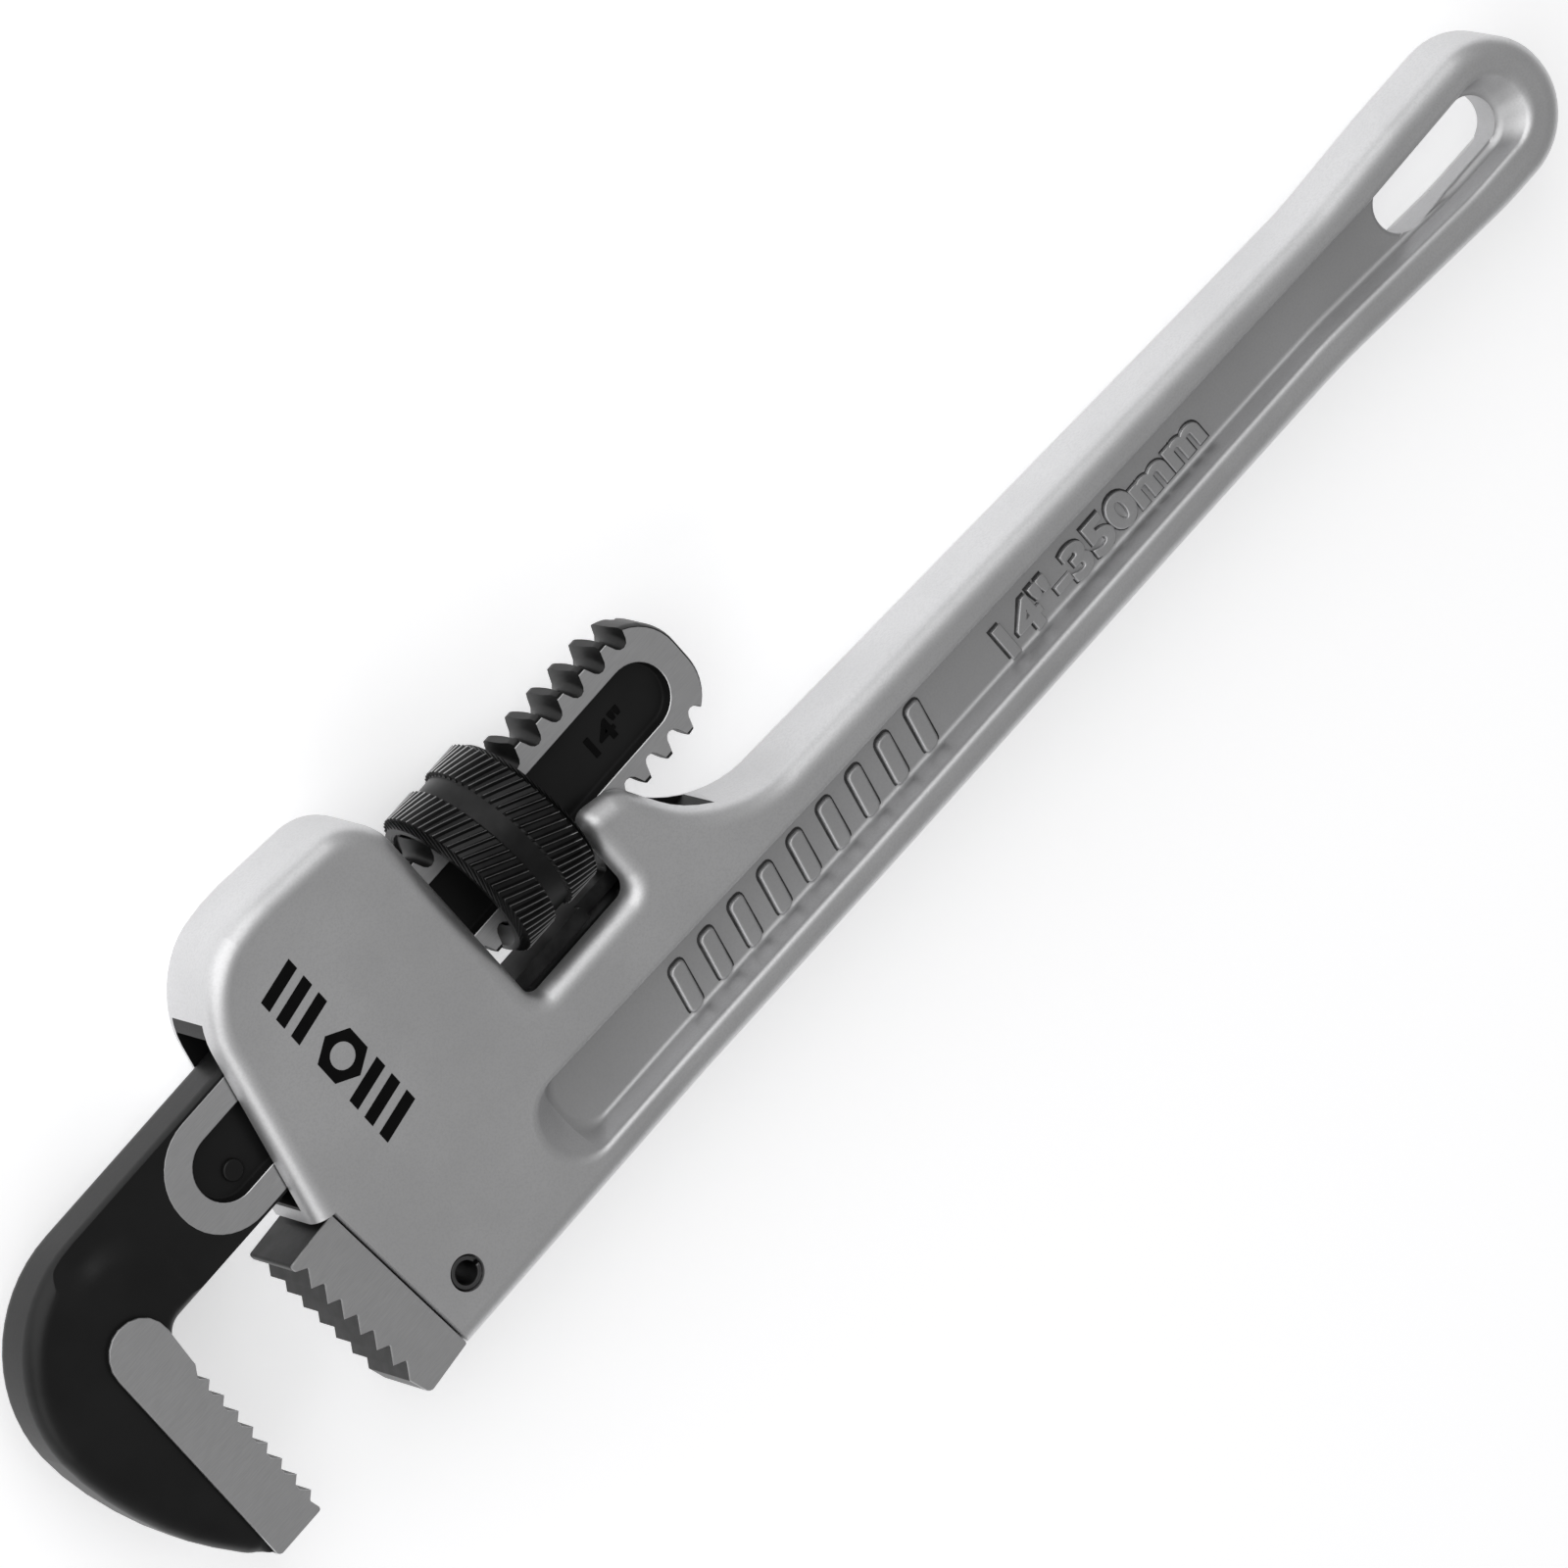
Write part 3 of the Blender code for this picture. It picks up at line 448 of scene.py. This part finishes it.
hookJaw = {
    "outline": [(-106.9, -51.2, 7), (-96.6, -51.2), (-96.6, -20, 4), (-94.2, -16.5, 3.6), (-94.2, -11.5, 3.7),
                (44.65, -11.5, 9.5), (44.65, 11.5, 9.5), (-120.8, 11.5, 25), (-120.8, -30, 54)],
    "half": 6.2,
    "rim": 3.15,
    "rimSteps": 7,
    "flat": [(-88.7, -22), (62, -22), (62, 22), (-108, 22), (-104, 3.2, 9), (-88.7, 3.2, 7)],
    "flatWall": [(0.8, 0.04), (1.6, 0.22), (2.4, 0.58), (3.2, 0.98), (4.0, 1.32), (4.7, 1.5), (5.6, 1.58)],
    "groundHalf": 4.75,
    "groundEdge": 0.28,
    "groundFrom": -80,
    "ringFrom": -69.0,
    "ringRadius": 10.7,
    "shankBlank": ((-90, -11.4, -8), (59, 11.4, 8)),
    "endBlank": [(-90, -11.2), (44.0, -11.2, 9.2), (44.0, 11.2, 9.2), (-90, 11.2)],
    "recess": [(-74.6, -6.1, 6), (39.4, -6.1, 6), (39.4, 6.1, 6), (-74.6, 6.1, 6)],
    "recessWall": [(0.12, 0.1), (0.3, 1.5), (0.55, 1.9), (0.95, 2.0)],
    "faceHalf": 7.25,
    "faceTop": [(-94.65, -17, 3), (-93.6, -3.75, 6.1), (-105.9, -3.75, 6.1), (-105.9, -51.6, 1),
                (-95.4, -51.6, 0.6)],
    "tipX": -94.65,
    "firstTip": -21.6,
    "pitch": 3.77,
    "depth": 1.35,
    "teeth": 8,
    "edge": 0.3,
    "threadPitch": 5.3,
    "threadTurns": 16,
    "threadAt": 2.4,
    "groove": [(-2.5, 12.9), (-2.2, 12.2), (-1.6, 10.8), (-1.25, 9.95), (-0.75, 9.4), (0, 9.2), (0.75, 9.4),
               (1.25, 9.95), (1.6, 10.8), (2.2, 12.2), (2.5, 12.9)],
}


def toothedOutline():
    j = hookJaw
    root = j["tipX"] - j["depth"]
    corners = []
    for k in range(j["teeth"] - 1, -1, -1):  # upwards
        tip = j["firstTip"] - k * j["pitch"]
        corners += [(root, tip - 1.1, 0.45), (j["tipX"], tip), (root, tip + 1.6, 0.45)]
    corners.append((j["tipX"], j["firstTip"] + j["pitch"], 0.3))
    return corners + j["faceTop"]


def makeHookJaw():
    j = hookJaw
    half = j["half"]
    piece = drawPlate("hookJaw", j["outline"], -half, half, step=6)

    def onRim(edge):
        m = middleOf(edge)
        behindTeeth = m.x > -107 and m.y < -25
        return abs(abs(m.z) - half) < 0.01 and not behindTeeth

    roundEdges(piece, j["rim"], j["rimSteps"], onRim)

    flat = drawPlate("flatCut", j["flat"], half, half + 3)
    sinkSteps(flat, j["flatWall"])
    cutBothSides(piece, flat)

    # the ring round the recess and the threads' flats are ground, and stand a little above the black forging
    face = drawPlate("toothedFace", toothedOutline(), -j["faceHalf"], j["faceHalf"], step=18)
    roundEdges(face, j["edge"], 2, lambda e: abs(abs(middleOf(e).z) - j["faceHalf"]) < 0.01)
    combine(piece, face, operation="UNION")

    reach, far = j["ringRadius"], j["shankBlank"][1][0] + 1
    left, turn = j["ringFrom"] - reach, reach - 0.3
    ring = drawPlate("ring", [(left, -reach, turn), (far, -reach), (far, reach), (left, reach, turn)],
                     -j["groundHalf"], j["groundHalf"])
    roundEdges(ring, j["groundEdge"], 2, lambda e: abs(abs(middleOf(e).z) - j["groundHalf"]) < 0.01)
    combine(ring, addBlock("shankBlank", *j["shankBlank"]), operation="INTERSECT")
    combine(ring, drawPlate("endBlank", j["endBlank"], -8, 8), operation="INTERSECT")
    combine(piece, ring, operation="UNION")

    recess = drawPlate("recess", j["recess"], j["groundHalf"], j["groundHalf"] + 3)
    sinkSteps(recess, j["recessWall"])
    cutBothSides(piece, recess)

    middle = j["threadAt"] - 6.5 * j["threadPitch"]
    section = [(middle + x, r) for x, r in j["groove"]]
    combine(piece, helix("threadCut", section, j["threadPitch"], j["threadTurns"]))
    return finishPiece(piece, "jaw", "hook_jaw", "hook_jaw")


boss = {"at": (-67.8, -2.2), "radius": 1.9, "foot": 2.0, "top": 3.5, "edge": 0.35}


def makeBoss():
    piece = addRound("recessBoss", (*boss["at"], 0), boss["radius"], boss["foot"], boss["top"], sides=48)
    roundEdges(piece, boss["edge"], 3, lambda e: abs(middleOf(e).z - boss["top"]) < 0.01)
    under = copyOf(piece, "recessBossUnder", turnOver=True)
    return [finishPiece(one, "jaw", "hook_jaw") for one in (piece, under)]


# the knurled nut

nut = {
    "radius": 15.4,
    "half": 9.3,
    "ridges": 60,
    "deep": 0.7,
    "slant": math.radians(27),
    "endRadius": 14.0,
    "grooveRadius": 14.5,
    "rings": [1.8, 2.1, 4.1, 6.2, 8.2],  # where it is sliced, to each side of the middle
    "ridged": (2, 8.3),
    "bore": 9.6,
    "mouth": 12.9,
    "mouthDeep": 2.4,
    "thread": [(-2.25, 9.0), (-1.95, 9.6), (-0.69, 12.55), (0.69, 12.55), (1.95, 9.6), (2.25, 9.0)],
}


def makeNut():
    n = nut
    sides = 4 * n["ridges"]
    piece = addRound("knurledNut", (0, 0, 0), n["radius"], -n["half"], n["half"], "X", sides)
    slices = sorted([-x for x in n["rings"]] + n["rings"])
    for x in slices:
        sliceAt(piece, x)

    def scalePicked(radius):
        share = radius / n["radius"]
        bpy.ops.transform.resize(value=(1, share, share), center_override=nutMiddle)
        done()

    def inValley(v):
        p = fromNut(v.co)
        step = round(math.atan2(p.z, p.y) / math.tau * sides) % 4
        return n["ridged"][0] < abs(p.x) < n["ridged"][1] and step != 0

    pick(piece, "VERT", inValley)
    scalePicked(n["radius"] - n["deep"])
    pick(piece, "VERT", lambda v: abs(fromNut(v.co).x) > n["half"] - 0.1)
    scalePicked(n["endRadius"])
    pick(piece, "VERT", lambda v: abs(fromNut(v.co).x) < n["rings"][0] + 0.1)
    scalePicked(n["grooveRadius"])
    for x in slices:  # each ring is turned a little further, which slants the ridges
        pick(piece, "VERT", lambda v: abs(fromNut(v.co).x - x) < 0.05)
        turn = x * math.tan(n["slant"]) / n["radius"]
        bpy.ops.transform.rotate(value=-turn, orient_axis="X", center_override=nutMiddle)
        done()

    over = 1  # the cutter stands out past both ends
    bore = addRound("bore", (0, 0, 0), n["bore"], -n["half"] - over, n["half"] + over, "X", 96)
    foot = n["half"] - n["mouthDeep"]
    for x in (-foot, foot):
        sliceAt(bore, x)
    pick(bore, "VERT", lambda v: abs(fromNut(v.co).x) > foot + 0.1)
    wide = (n["mouth"] + (n["mouth"] - n["bore"]) * over / n["mouthDeep"]) / n["bore"]
    bpy.ops.transform.resize(value=(1, wide, wide), center_override=nutMiddle)
    done()
    combine(piece, bore)
    middle = hookJaw["threadAt"] - 4 * hookJaw["threadPitch"]
    section = [(middle + x, r) for x, r in n["thread"]]
    combine(piece, helix("nutThread", section, hookJaw["threadPitch"], 7))
    return finishPiece(piece, "nut", "nut", "adjusting_nut", angle=30)


# the coil spring, which the leaf presses down as the jaw rocks

coil = {"wire": 0.55, "turns": 6, "sides": 12, "pressed": 0.79}


def makeCoil():
    c = coil
    low, high = (Vector(corner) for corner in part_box("coil_spring"))
    wire, radius = c["wire"], (high.x - low.x) / mm / 2 - c["wire"]
    long = (high.y - low.y) / mm
    angles = [math.tau * k / c["sides"] for k in range(c["sides"])]
    section = [(wire * math.cos(angle), radius + wire * math.sin(angle)) for angle in angles]
    piece = helix("coilSpring", section, (long - 2 * wire) / c["turns"], c["turns"])
    activate(piece)
    bpy.ops.transform.rotate(value=math.pi / 2, orient_axis="Z", center_override=nutMiddle)
    settle(piece)
    points = [v.co for v in piece.data.vertices]
    for axis in range(3):
        along = [p[axis] for p in points]
        piece.location[axis] = (low[axis] + high[axis] - min(along) - max(along)) / 2
    settle(piece)
    finishPiece(piece, "handle", "springs", "coil_spring")
    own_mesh(piece)
    return piece


# raised marks on the handle's web, and the flat print on the head

marks = {
    "ribs": 9,
    "ribFrom": 5.5,
    "ribEvery": 7.3,
    "ribWide": 3.2,
    "ribLow": -45.0,
    "ribHigh": -36.6,
    "ribLean": 1.9,
    "stands": 0.8,
    "ribCorner": 1.0,
    "ribSoft": 0.55,
    "ribFall": 0.017,  # the row follows the handle down
    "outline": 0.4,  # how far the painted shade round the foot of each mark reaches
}

sizeText = {"words": "14\"-350mm", "corner": (85.5, -46.4), "long": 50.0, "tall": 6.6}

shankText = {"words": "14\"", "corner": (22.3, -2.4), "long": 8.2, "tall": 3.9, "height": 2.75,
             "stands": 0.12, "soft": 0.08}


def webTop(x):
    # the web thins with the casting
    c = casting
    share = min(max((x - c["taperFrom"]) / (c["taperTo"] - c["taperFrom"]), 0), 1)
    return (c["half"] - c["channelWall"][-1][1]) * (1 + share * (c["thinned"] - 1))


def makeText(name, words, corner, long, tall, height, stands, soft, wider=0.0):
    bpy.ops.object.text_add(location=(0, 0, 0))
    piece = bpy.context.object
    piece.name = name
    piece.data.body = words
    piece.data.size = 10 * mm
    piece.data.offset = (0.22 + wider) * mm
    piece.data.resolution_u = 6
    piece.data.extrude = stands * mm
    piece.data.bevel_depth = soft * mm
    piece.data.bevel_resolution = 2
    activate(piece)
    bpy.ops.object.convert(target="MESH")
    points = [v.co for v in piece.data.vertices]
    left, right = min(p.x for p in points), max(p.x for p in points)
    bottom, top = min(p.y for p in points), max(p.y for p in points)
    across = (long + 2 * wider) * mm / (right - left)
    up = (tall + 2 * wider) * mm / (top - bottom)
    start = spot(corner[0] - wider, corner[1] - wider, height)
    piece.scale = (across, up, 1)
    piece.location = start - Vector((left * across, bottom * up, 0))
    return settle(piece)


def makeRib(name, wider, top, edge):
    m = marks
    piece = addBlock(name, (m["ribFrom"] - wider, m["ribLow"] - wider, webTop(0) - 0.6),
                     (m["ribFrom"] + m["ribWide"] + wider, m["ribHigh"] + wider, top))
    pick(piece, "VERT", lambda v: fromNut(v.co).y > m["ribHigh"] - 0.1)
    bpy.ops.transform.translate(value=(m["ribLean"] * mm, 0, 0))
    done()
    pick(piece, "EDGE", lambda e: abs(e.verts[0].co.z - e.verts[1].co.z) > 0.5 * mm)
    roundPicked(m["ribCorner"] + wider, 4)
    done()
    if edge:
        roundEdges(piece, edge, 3, lambda e: abs(middleOf(e).z - top) < 0.01)
    return piece


def makeMarks():
    # raised marks first, then the dark sheets of painted shade round their feet
    m = marks
    raised = [makeRib("gripRib1", 0, webTop(0) + m["stands"], m["ribSoft"])]
    lines = [makeRib("gripRibFootShade1", m["outline"], webTop(0) + 0.04, 0)]
    for made, name in ((raised, "gripRib"), (lines, "gripRibFootShade")):
        for k in range(1, m["ribs"]):
            along = k * m["ribEvery"]
            sink = webTop(m["ribFrom"] + along) - webTop(0)
            made.append(copyOf(made[0], f"{name}{k + 1}", move=(along, -m["ribFall"] * along, sink)))
        made += [copyOf(one, one.name + "Under", turnOver=True) for one in list(made)]
    start, long = sizeText["corner"][0], sizeText["long"]
    middle = start + long / 2
    top = webTop(middle)
    size = makeText("sizeMark", **sizeText, height=top + 0.25, stands=0.25, soft=0.3)
    sizeFootShade = makeText("sizeMarkFootShade", **sizeText, height=top - 0.26, stands=0.3, soft=0, wider=m["outline"])
    fall = (webTop(start) - webTop(start + long)) / long
    for piece in (size, sizeFootShade):
        activate(piece)
        bpy.ops.transform.rotate(value=-fall, orient_axis="Y", center_override=spot(middle, 0, 0))
        settle(piece)
    raised.append(size)
    lines.append(sizeFootShade)
    return [[finishPiece(one, "handle", "casting") for one in made] for made in (raised, lines)]


printed = {
    "middle": (-43.5, -0.5, 0),
    "hexagon": 4.6,
    "eye": 2.3,
    "barFoot": (-47.6, 6.4),
    "barHead": (-39.4, 8.6),
    "barLean": 1.5,
    "barsAlong": (3.9, 7.8, -15.2, -19.1, -23.0),  # from the first bar
    "stands": 0.05,
    "sunk": 0.2,
}


def makePrint():
    # a plain nut outline with slanted bars on both sides, printed on the head
    p = printed
    low, high = casting["half"] - p["sunk"], casting["half"] + p["stands"]
    hexagon = addRound("printedNut", p["middle"], p["hexagon"], low, high, sides=6)
    combine(hexagon, addRound("eye", p["middle"], p["eye"], low - 1, high + 1))
    bar = addBlock("printedBar1", (*p["barFoot"], low), (*p["barHead"], high))
    pick(bar, "VERT", lambda v: fromNut(v.co).x > p["barHead"][0] - 0.6)
    bpy.ops.transform.translate(value=(0, p["barLean"] * mm, 0))
    done()
    pieces = [hexagon, bar]
    for number, y in enumerate(p["barsAlong"], 2):
        pieces.append(copyOf(bar, f"printedBar{number}", move=(0, y, 0)))
    for piece in pieces:
        finishPiece(piece, "handle", "casting")
    return pieces


def makeShankText():
    piece = makeText("shankMark", **shankText)
    return finishPiece(piece, "jaw", "hook_jaw")


# materials

class Wire:
    # wraps a socket, so that maths on values adds its own nodes
    def __init__(self, paint, socket):
        self.paint, self.socket = paint, socket

    def maths(self, operation, *others):
        sockets = dict(enumerate((self, *others)))
        return self.paint.node("ShaderNodeMath", {"operation": operation}, sockets)

    def __add__(self, other):
        return self.maths("ADD", other)

    def __sub__(self, other):
        return self.maths("SUBTRACT", other)

    def __rsub__(self, other):
        return self.paint.node("ShaderNodeMath", {"operation": "SUBTRACT"}, {0: other, 1: self})

    def __mul__(self, other):
        return self.maths("MULTIPLY", other)

    def __gt__(self, other):
        return self.maths("GREATER_THAN", other)

    def __lt__(self, other):
        return self.maths("LESS_THAN", other)

    __radd__ = __add__
    __rmul__ = __mul__

    def size(self):
        return self.maths("ABSOLUTE")

    def between(self, low, high):
        # 0 at low, 1 at high, and smooth from one to the other
        return self.paint.node("ShaderNodeMapRange", {"interpolation_type": "SMOOTHSTEP"},
                               {"Value": self, "From Min": low, "From Max": high})


class Paint:
    def __init__(self, name):
        self.material = bpy.data.materials.new(name)
        self.material.use_nodes = True
        self.tree = self.material.node_tree
        self.shader = self.tree.nodes["Principled BSDF"]
        place = self.node("ShaderNodeTexCoord", {}, {}, "Object")
        place = self.node("ShaderNodeVectorMath", {"operation": "SUBTRACT"}, {0: place, 1: nutMiddle})
        self.fromNut = self.node("ShaderNodeVectorMath", {"operation": "SCALE"}, {0: place, "Scale": 1 / mm})
        self.x, self.y, self.z = (
            self.node("ShaderNodeSeparateXYZ", {}, {0: self.fromNut}, axis) for axis in "XYZ")

    def node(self, kind, settings, sockets, out=0):
        made = self.tree.nodes.new(kind)
        for name, value in settings.items():
            setattr(made, name, value)
        for name, value in sockets.items():
            self.join(value, made.inputs[name])
        return Wire(self, made.outputs[out])

    def join(self, value, socket):
        if isinstance(value, Wire):
            self.tree.links.new(value.socket, socket)
        else:
            socket.default_value = value

    def set(self, **sockets):
        for name, value in sockets.items():
            self.join(value, self.shader.inputs[name.replace("_", " ")])

    def noise(self, scale, detail=3, stretch=(1, 1, 1)):
        # scale is in bumps to the millimetre
        vector = self.node("ShaderNodeMapping", {}, {"Vector": self.fromNut, "Scale": stretch})
        return self.node("ShaderNodeTexNoise", {}, {"Vector": vector, "Scale": scale, "Detail": detail})

    def mix(self, share, first, second):
        first, second = ((*end, 1) if isinstance(end, tuple) else end for end in (first, second))
        return self.node("ShaderNodeMix", {"data_type": "RGBA"}, {0: share, 6: first, 7: second}, 2)

    def inside(self, low, high):
        # 1 between two corners and 0 elsewhere
        mask = 1
        for wire, start, end in zip((self.x, self.y, self.z), low, high):
            mask = (wire > start) * (wire < end) * mask
        return mask

    def bump(self, height, strength, distance):
        sockets = {"Height": height, "Strength": strength, "Distance": distance * mm}
        self.set(Normal=self.node("ShaderNodeBump", {}, sockets))


def grey(value):
    return (value, value, value * 1.01)


aluminiumLook = {
    "dull": 0.66,
    "light": 0.72,
    "grain": 0.55,
    # painted shade in the sunk web: its grey, and the faces that bound where it lies
    "web": 0.42,
    "webTop": (-31.0, -0.036),  # height over the nut's middle, and rise to the millimetre
    "webFoot": (-48.6, -0.018),
    "webFrom": -22,
    "webDepth": (7.6, 4.2),
    # painted shade inside the head's passage and the saddle's slots: its grey, and the boxes it fills
    "slotShade": 0.03,
    "shadedSlots": [((-80, -15.0, -5.2), (-11.0, 19.6, 5.2)), ((-32.0, -22.1, -5.2), (35.1, -12.0, 5.2))],
}


def blastedAluminium():
    a = aluminiumLook
    p = Paint("blastedAluminium")
    patches = p.noise(0.05, 4)
    grain = p.noise(2.6, 2)
    pits = p.noise(0.9, 3)
    # painted shade: the sunk web between the rims is painted a little darker than the rims, the deeper the
    # darker
    overTop, overFoot = (p.y - height - p.x * rise for height, rise in (a["webTop"], a["webFoot"]))
    web = (overTop < 0) * (overFoot > 0) * (p.x > a["webFrom"]) * p.z.size().between(*a["webDepth"])
    base = p.mix(patches.between(0.3, 0.7), grey(a["dull"]), grey(a["light"]))
    base = p.mix(grain.between(0.35, 0.75) * 0.35, base, grey(a["grain"]))
    base = p.mix(web * 0.5, base, grey(a["web"]))
    # painted shade: the slots inside the head and the saddle are painted near black, where they lie in shade
    passage, saddle = (p.inside(*corners) for corners in a["shadedSlots"])
    base = p.mix(passage.maths("MAXIMUM", saddle), base, grey(a["slotShade"]))
    p.set(Base_Color=base, Metallic=0.9, Roughness=0.40 + 0.07 * patches + 0.05 * grain)
    p.bump(grain + 0.5 * pits, 0.22, 0.05)
    return p.material


def blackForging():
    p = Paint("blackForging")
    patches = p.noise(0.06, 4)
    grain = p.noise(1.8, 3)
    base = p.mix(patches.between(0.3, 0.7), grey(0.005), grey(0.009))
    p.set(Base_Color=base, Roughness=0.34 + 0.08 * patches + 0.05 * grain, Specular_IOR_Level=0.3)
    p.bump(grain + p.noise(0.5, 3), 0.16, 0.06)
    return p.material


def groundSteel(name="groundSteel", light=0.62):
    p = Paint(name)
    lines = p.noise(1.4, 3, (0.25, 5, 5))
    patches = p.noise(0.12, 3)
    base = p.mix(lines.between(0.3, 0.7), grey(light * 0.9), grey(light))
    base = p.mix(patches.between(0.35, 0.8) * 0.3, base, grey(light * 0.85))
    p.set(Base_Color=base, Metallic=0.9, Roughness=0.36 + 0.08 * lines)
    p.bump(lines, 0.12, 0.03)
    return p.material


def darkSteel():
    # hardened and left dark: the teeth and the edges between ground faces
    p = Paint("darkSteel")
    patches = p.noise(0.3, 4)
    base = p.mix(patches.between(0.3, 0.7), grey(0.028), grey(0.05))
    p.set(Base_Color=base, Metallic=0.75, Roughness=0.34 + 0.1 * patches)
    p.bump(p.noise(2.2, 3), 0.15, 0.04)
    return p.material


def blackNut():
    # black oxide, with a painted highlight: the crests of the ridges are painted brighter, in place of the
    # glints along them
    p = Paint("blackNut")
    out = (p.y * p.y + p.z * p.z).maths("SQRT")
    start, end = nut["ridged"]
    ridged = (p.x.size() > start) * (p.x.size() < end + 0.3)
    crestGlint = out.between(nut["radius"] - 0.22, nut["radius"]) * ridged
    patches = p.noise(0.2, 4)
    base = p.mix(patches.between(0.3, 0.7), grey(0.014), grey(0.024))
    # painted highlight: the crests are mixed towards a light grey
    base = p.mix(crestGlint * 0.85, base, grey(0.5))
    p.set(Base_Color=base, Metallic=0.75, Roughness=0.33 + 0.1 * patches - 0.06 * crestGlint)
    p.bump(p.noise(2.4, 3), 0.12, 0.04)
    return p.material


def springSteel():
    p = Paint("springSteel")
    patches = p.noise(0.25, 4)
    base = p.mix(patches.between(0.3, 0.7), grey(0.02), grey(0.04))
    p.set(Base_Color=base, Metallic=0.8, Roughness=0.34 + 0.12 * patches)
    p.bump(p.noise(1.8, 3), 0.1, 0.04)
    return p.material


def printInk():
    p = Paint("printInk")
    base = p.mix(p.noise(0.6, 3), grey(0.002), grey(0.005))
    p.set(Base_Color=base, Roughness=0.6 + 0.1 * p.noise(2.0, 2), Specular_IOR_Level=0.08)
    return p.material


def markFootShade():
    # painted shade: a dark grey laid on the flat sheets under each raised mark, darkening its foot
    p = Paint("markFootShade")
    base = p.mix(p.noise(0.8, 3).between(0.3, 0.7), grey(0.035), grey(0.07))
    p.set(Base_Color=base, Metallic=0.3, Roughness=0.55 + 0.1 * p.noise(2.0, 2))
    return p.material


def giveMaterials(piece, first, second=None, test=None):
    # the second material goes on the faces that pass the test
    piece.data.materials.clear()
    piece.data.materials.append(first)
    for face in piece.data.polygons:
        face.material_index = 0
    if second:
        piece.data.materials.append(second)
        pick(piece, "FACE", test)
        piece.active_material_index = 1
        bpy.ops.object.material_slot_assign()
        done()


# the wrench is put together

castHandle = makeCasting()
print("cast handle made")
heelJawPiece = makeHeelJaw()
pinPiece = makePin()
print("heel jaw and pin made")
hookPiece = makeHookJaw()
bosses = makeBoss()
print("hook jaw made")
nutPiece = makeNut()
coilPiece = makeCoil()
print("nut and coil spring made")
raisedMarks, markFootShades = makeMarks()
printedMarks = makePrint()
shankMark = makeShankText()
print("marks made")

aluminium, forging, ground, dark = blastedAluminium(), blackForging(), groundSteel(), darkSteel()
giveMaterials(castHandle, aluminium)
for piece in raisedMarks:
    giveMaterials(piece, aluminium)
ink = printInk()
for piece in [*printedMarks, shankMark]:
    giveMaterials(piece, ink)
# painted shade round the foot of the raised marks
footShadePaint = markFootShade()
for piece in markFootShades:
    giveMaterials(piece, footShadePaint)
giveMaterials(heelJawPiece, dark, ground, lambda f: abs(middleOf(f).z) > heelJaw["half"] - 0.27)
springs = springSteel()
pinEnd = groundSteel("pinEnd", 0.12)
giveMaterials(pinPiece, springs, pinEnd, lambda f: abs(middleOf(f).z) > pin["half"] - 0.28)


def isGround(face):
    m = middleOf(face)
    toothed = abs(m.z) > hookJaw["faceHalf"] - 0.28
    flat = abs(abs(m.z) - hookJaw["groundHalf"]) < 0.1 and abs(face.normal.z) > 0.6
    return toothed or (flat and m.x > hookJaw["groundFrom"])


giveMaterials(hookPiece, forging, ground, isGround)
for piece in bosses:
    giveMaterials(piece, forging)
giveMaterials(nutPiece, blackNut())
giveMaterials(coilPiece, springs)
for name in ("flat_spring", "spring_rivet"):
    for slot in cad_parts[name].material_slots:
        slot.material = springs
print("materials given")

# floor, light and camera

stage = {
    "floorWide": 12,
    "floorDrop": 0.0005,
    "floorGrey": 0.92,
    "floorGlow": 0.42,
    "overcast": 0.31,
    "soft": {  # name: (place from the middle, size, power)
        "topSoft": ((-0.6, 1.5, 1.2), 3.0, 32),
        "leftStrip": ((-1.7, -0.1, 0.9), 1.2, 5),
    },
}


def makeStage():
    bpy.ops.mesh.primitive_plane_add(size=stage["floorWide"], location=(0, 0, -stage["floorDrop"]))
    floor = bpy.context.object
    floor.name = "floor"
    p = Paint("paleFloor")
    base = p.mix(p.noise(0.01, 2), grey(stage["floorGrey"] - 0.01), grey(stage["floorGrey"]))
    p.set(Base_Color=base, Roughness=0.7, Emission_Color=(1, 1, 1, 1), Emission_Strength=stage["floorGlow"])
    floor.data.materials.append(p.material)
    middle = (cadLow + cadHigh) / 2
    for name, (place, size, power) in stage["soft"].items():
        bpy.ops.object.light_add(type="AREA", location=middle + Vector(place))
        light = bpy.context.object
        light.name = name
        light.data.shape = "DISK"
        light.data.size = size
        light.data.energy = power
        light.rotation_euler = Vector(place).to_track_quat("Z", "Y").to_euler()
    world = bpy.data.worlds.new("paleRoom")
    world.use_nodes = True
    sky = world.node_tree.nodes["Background"]
    sky.inputs["Color"].default_value = (1, 1, 1, 1)
    sky.inputs["Strength"].default_value = stage["overcast"]
    bpy.context.scene.world = world


view = {
    "right": (0.63737, -0.598, 0.48596),
    "up": (0.72563, 0.67797, -0.1175),
    "wide": 250,  # of what is seen
    "aim": (46.875, 10.156),  # to the right of the nut's middle, and up
    "far": 3000,
    "film": 36,
}


def makeCamera():
    v = view
    right, up = Vector(v["right"]).normalized(), Vector(v["up"]).normalized()
    back = right.cross(up)
    aim = nutMiddle + (right * v["aim"][0] + up * v["aim"][1]) * mm
    bpy.ops.object.camera_add(location=aim + back * v["far"] * mm)
    camera = bpy.context.object
    camera.rotation_euler = Matrix((right, up, back)).transposed().to_euler()
    camera.data.sensor_width = v["film"]
    camera.data.lens = v["film"] * v["far"] / v["wide"]
    camera.data.clip_end = 50
    bpy.context.scene.camera = camera


makeStage()
makeCamera()
bpy.context.scene.view_settings.view_transform = "Standard"
print("stage made")
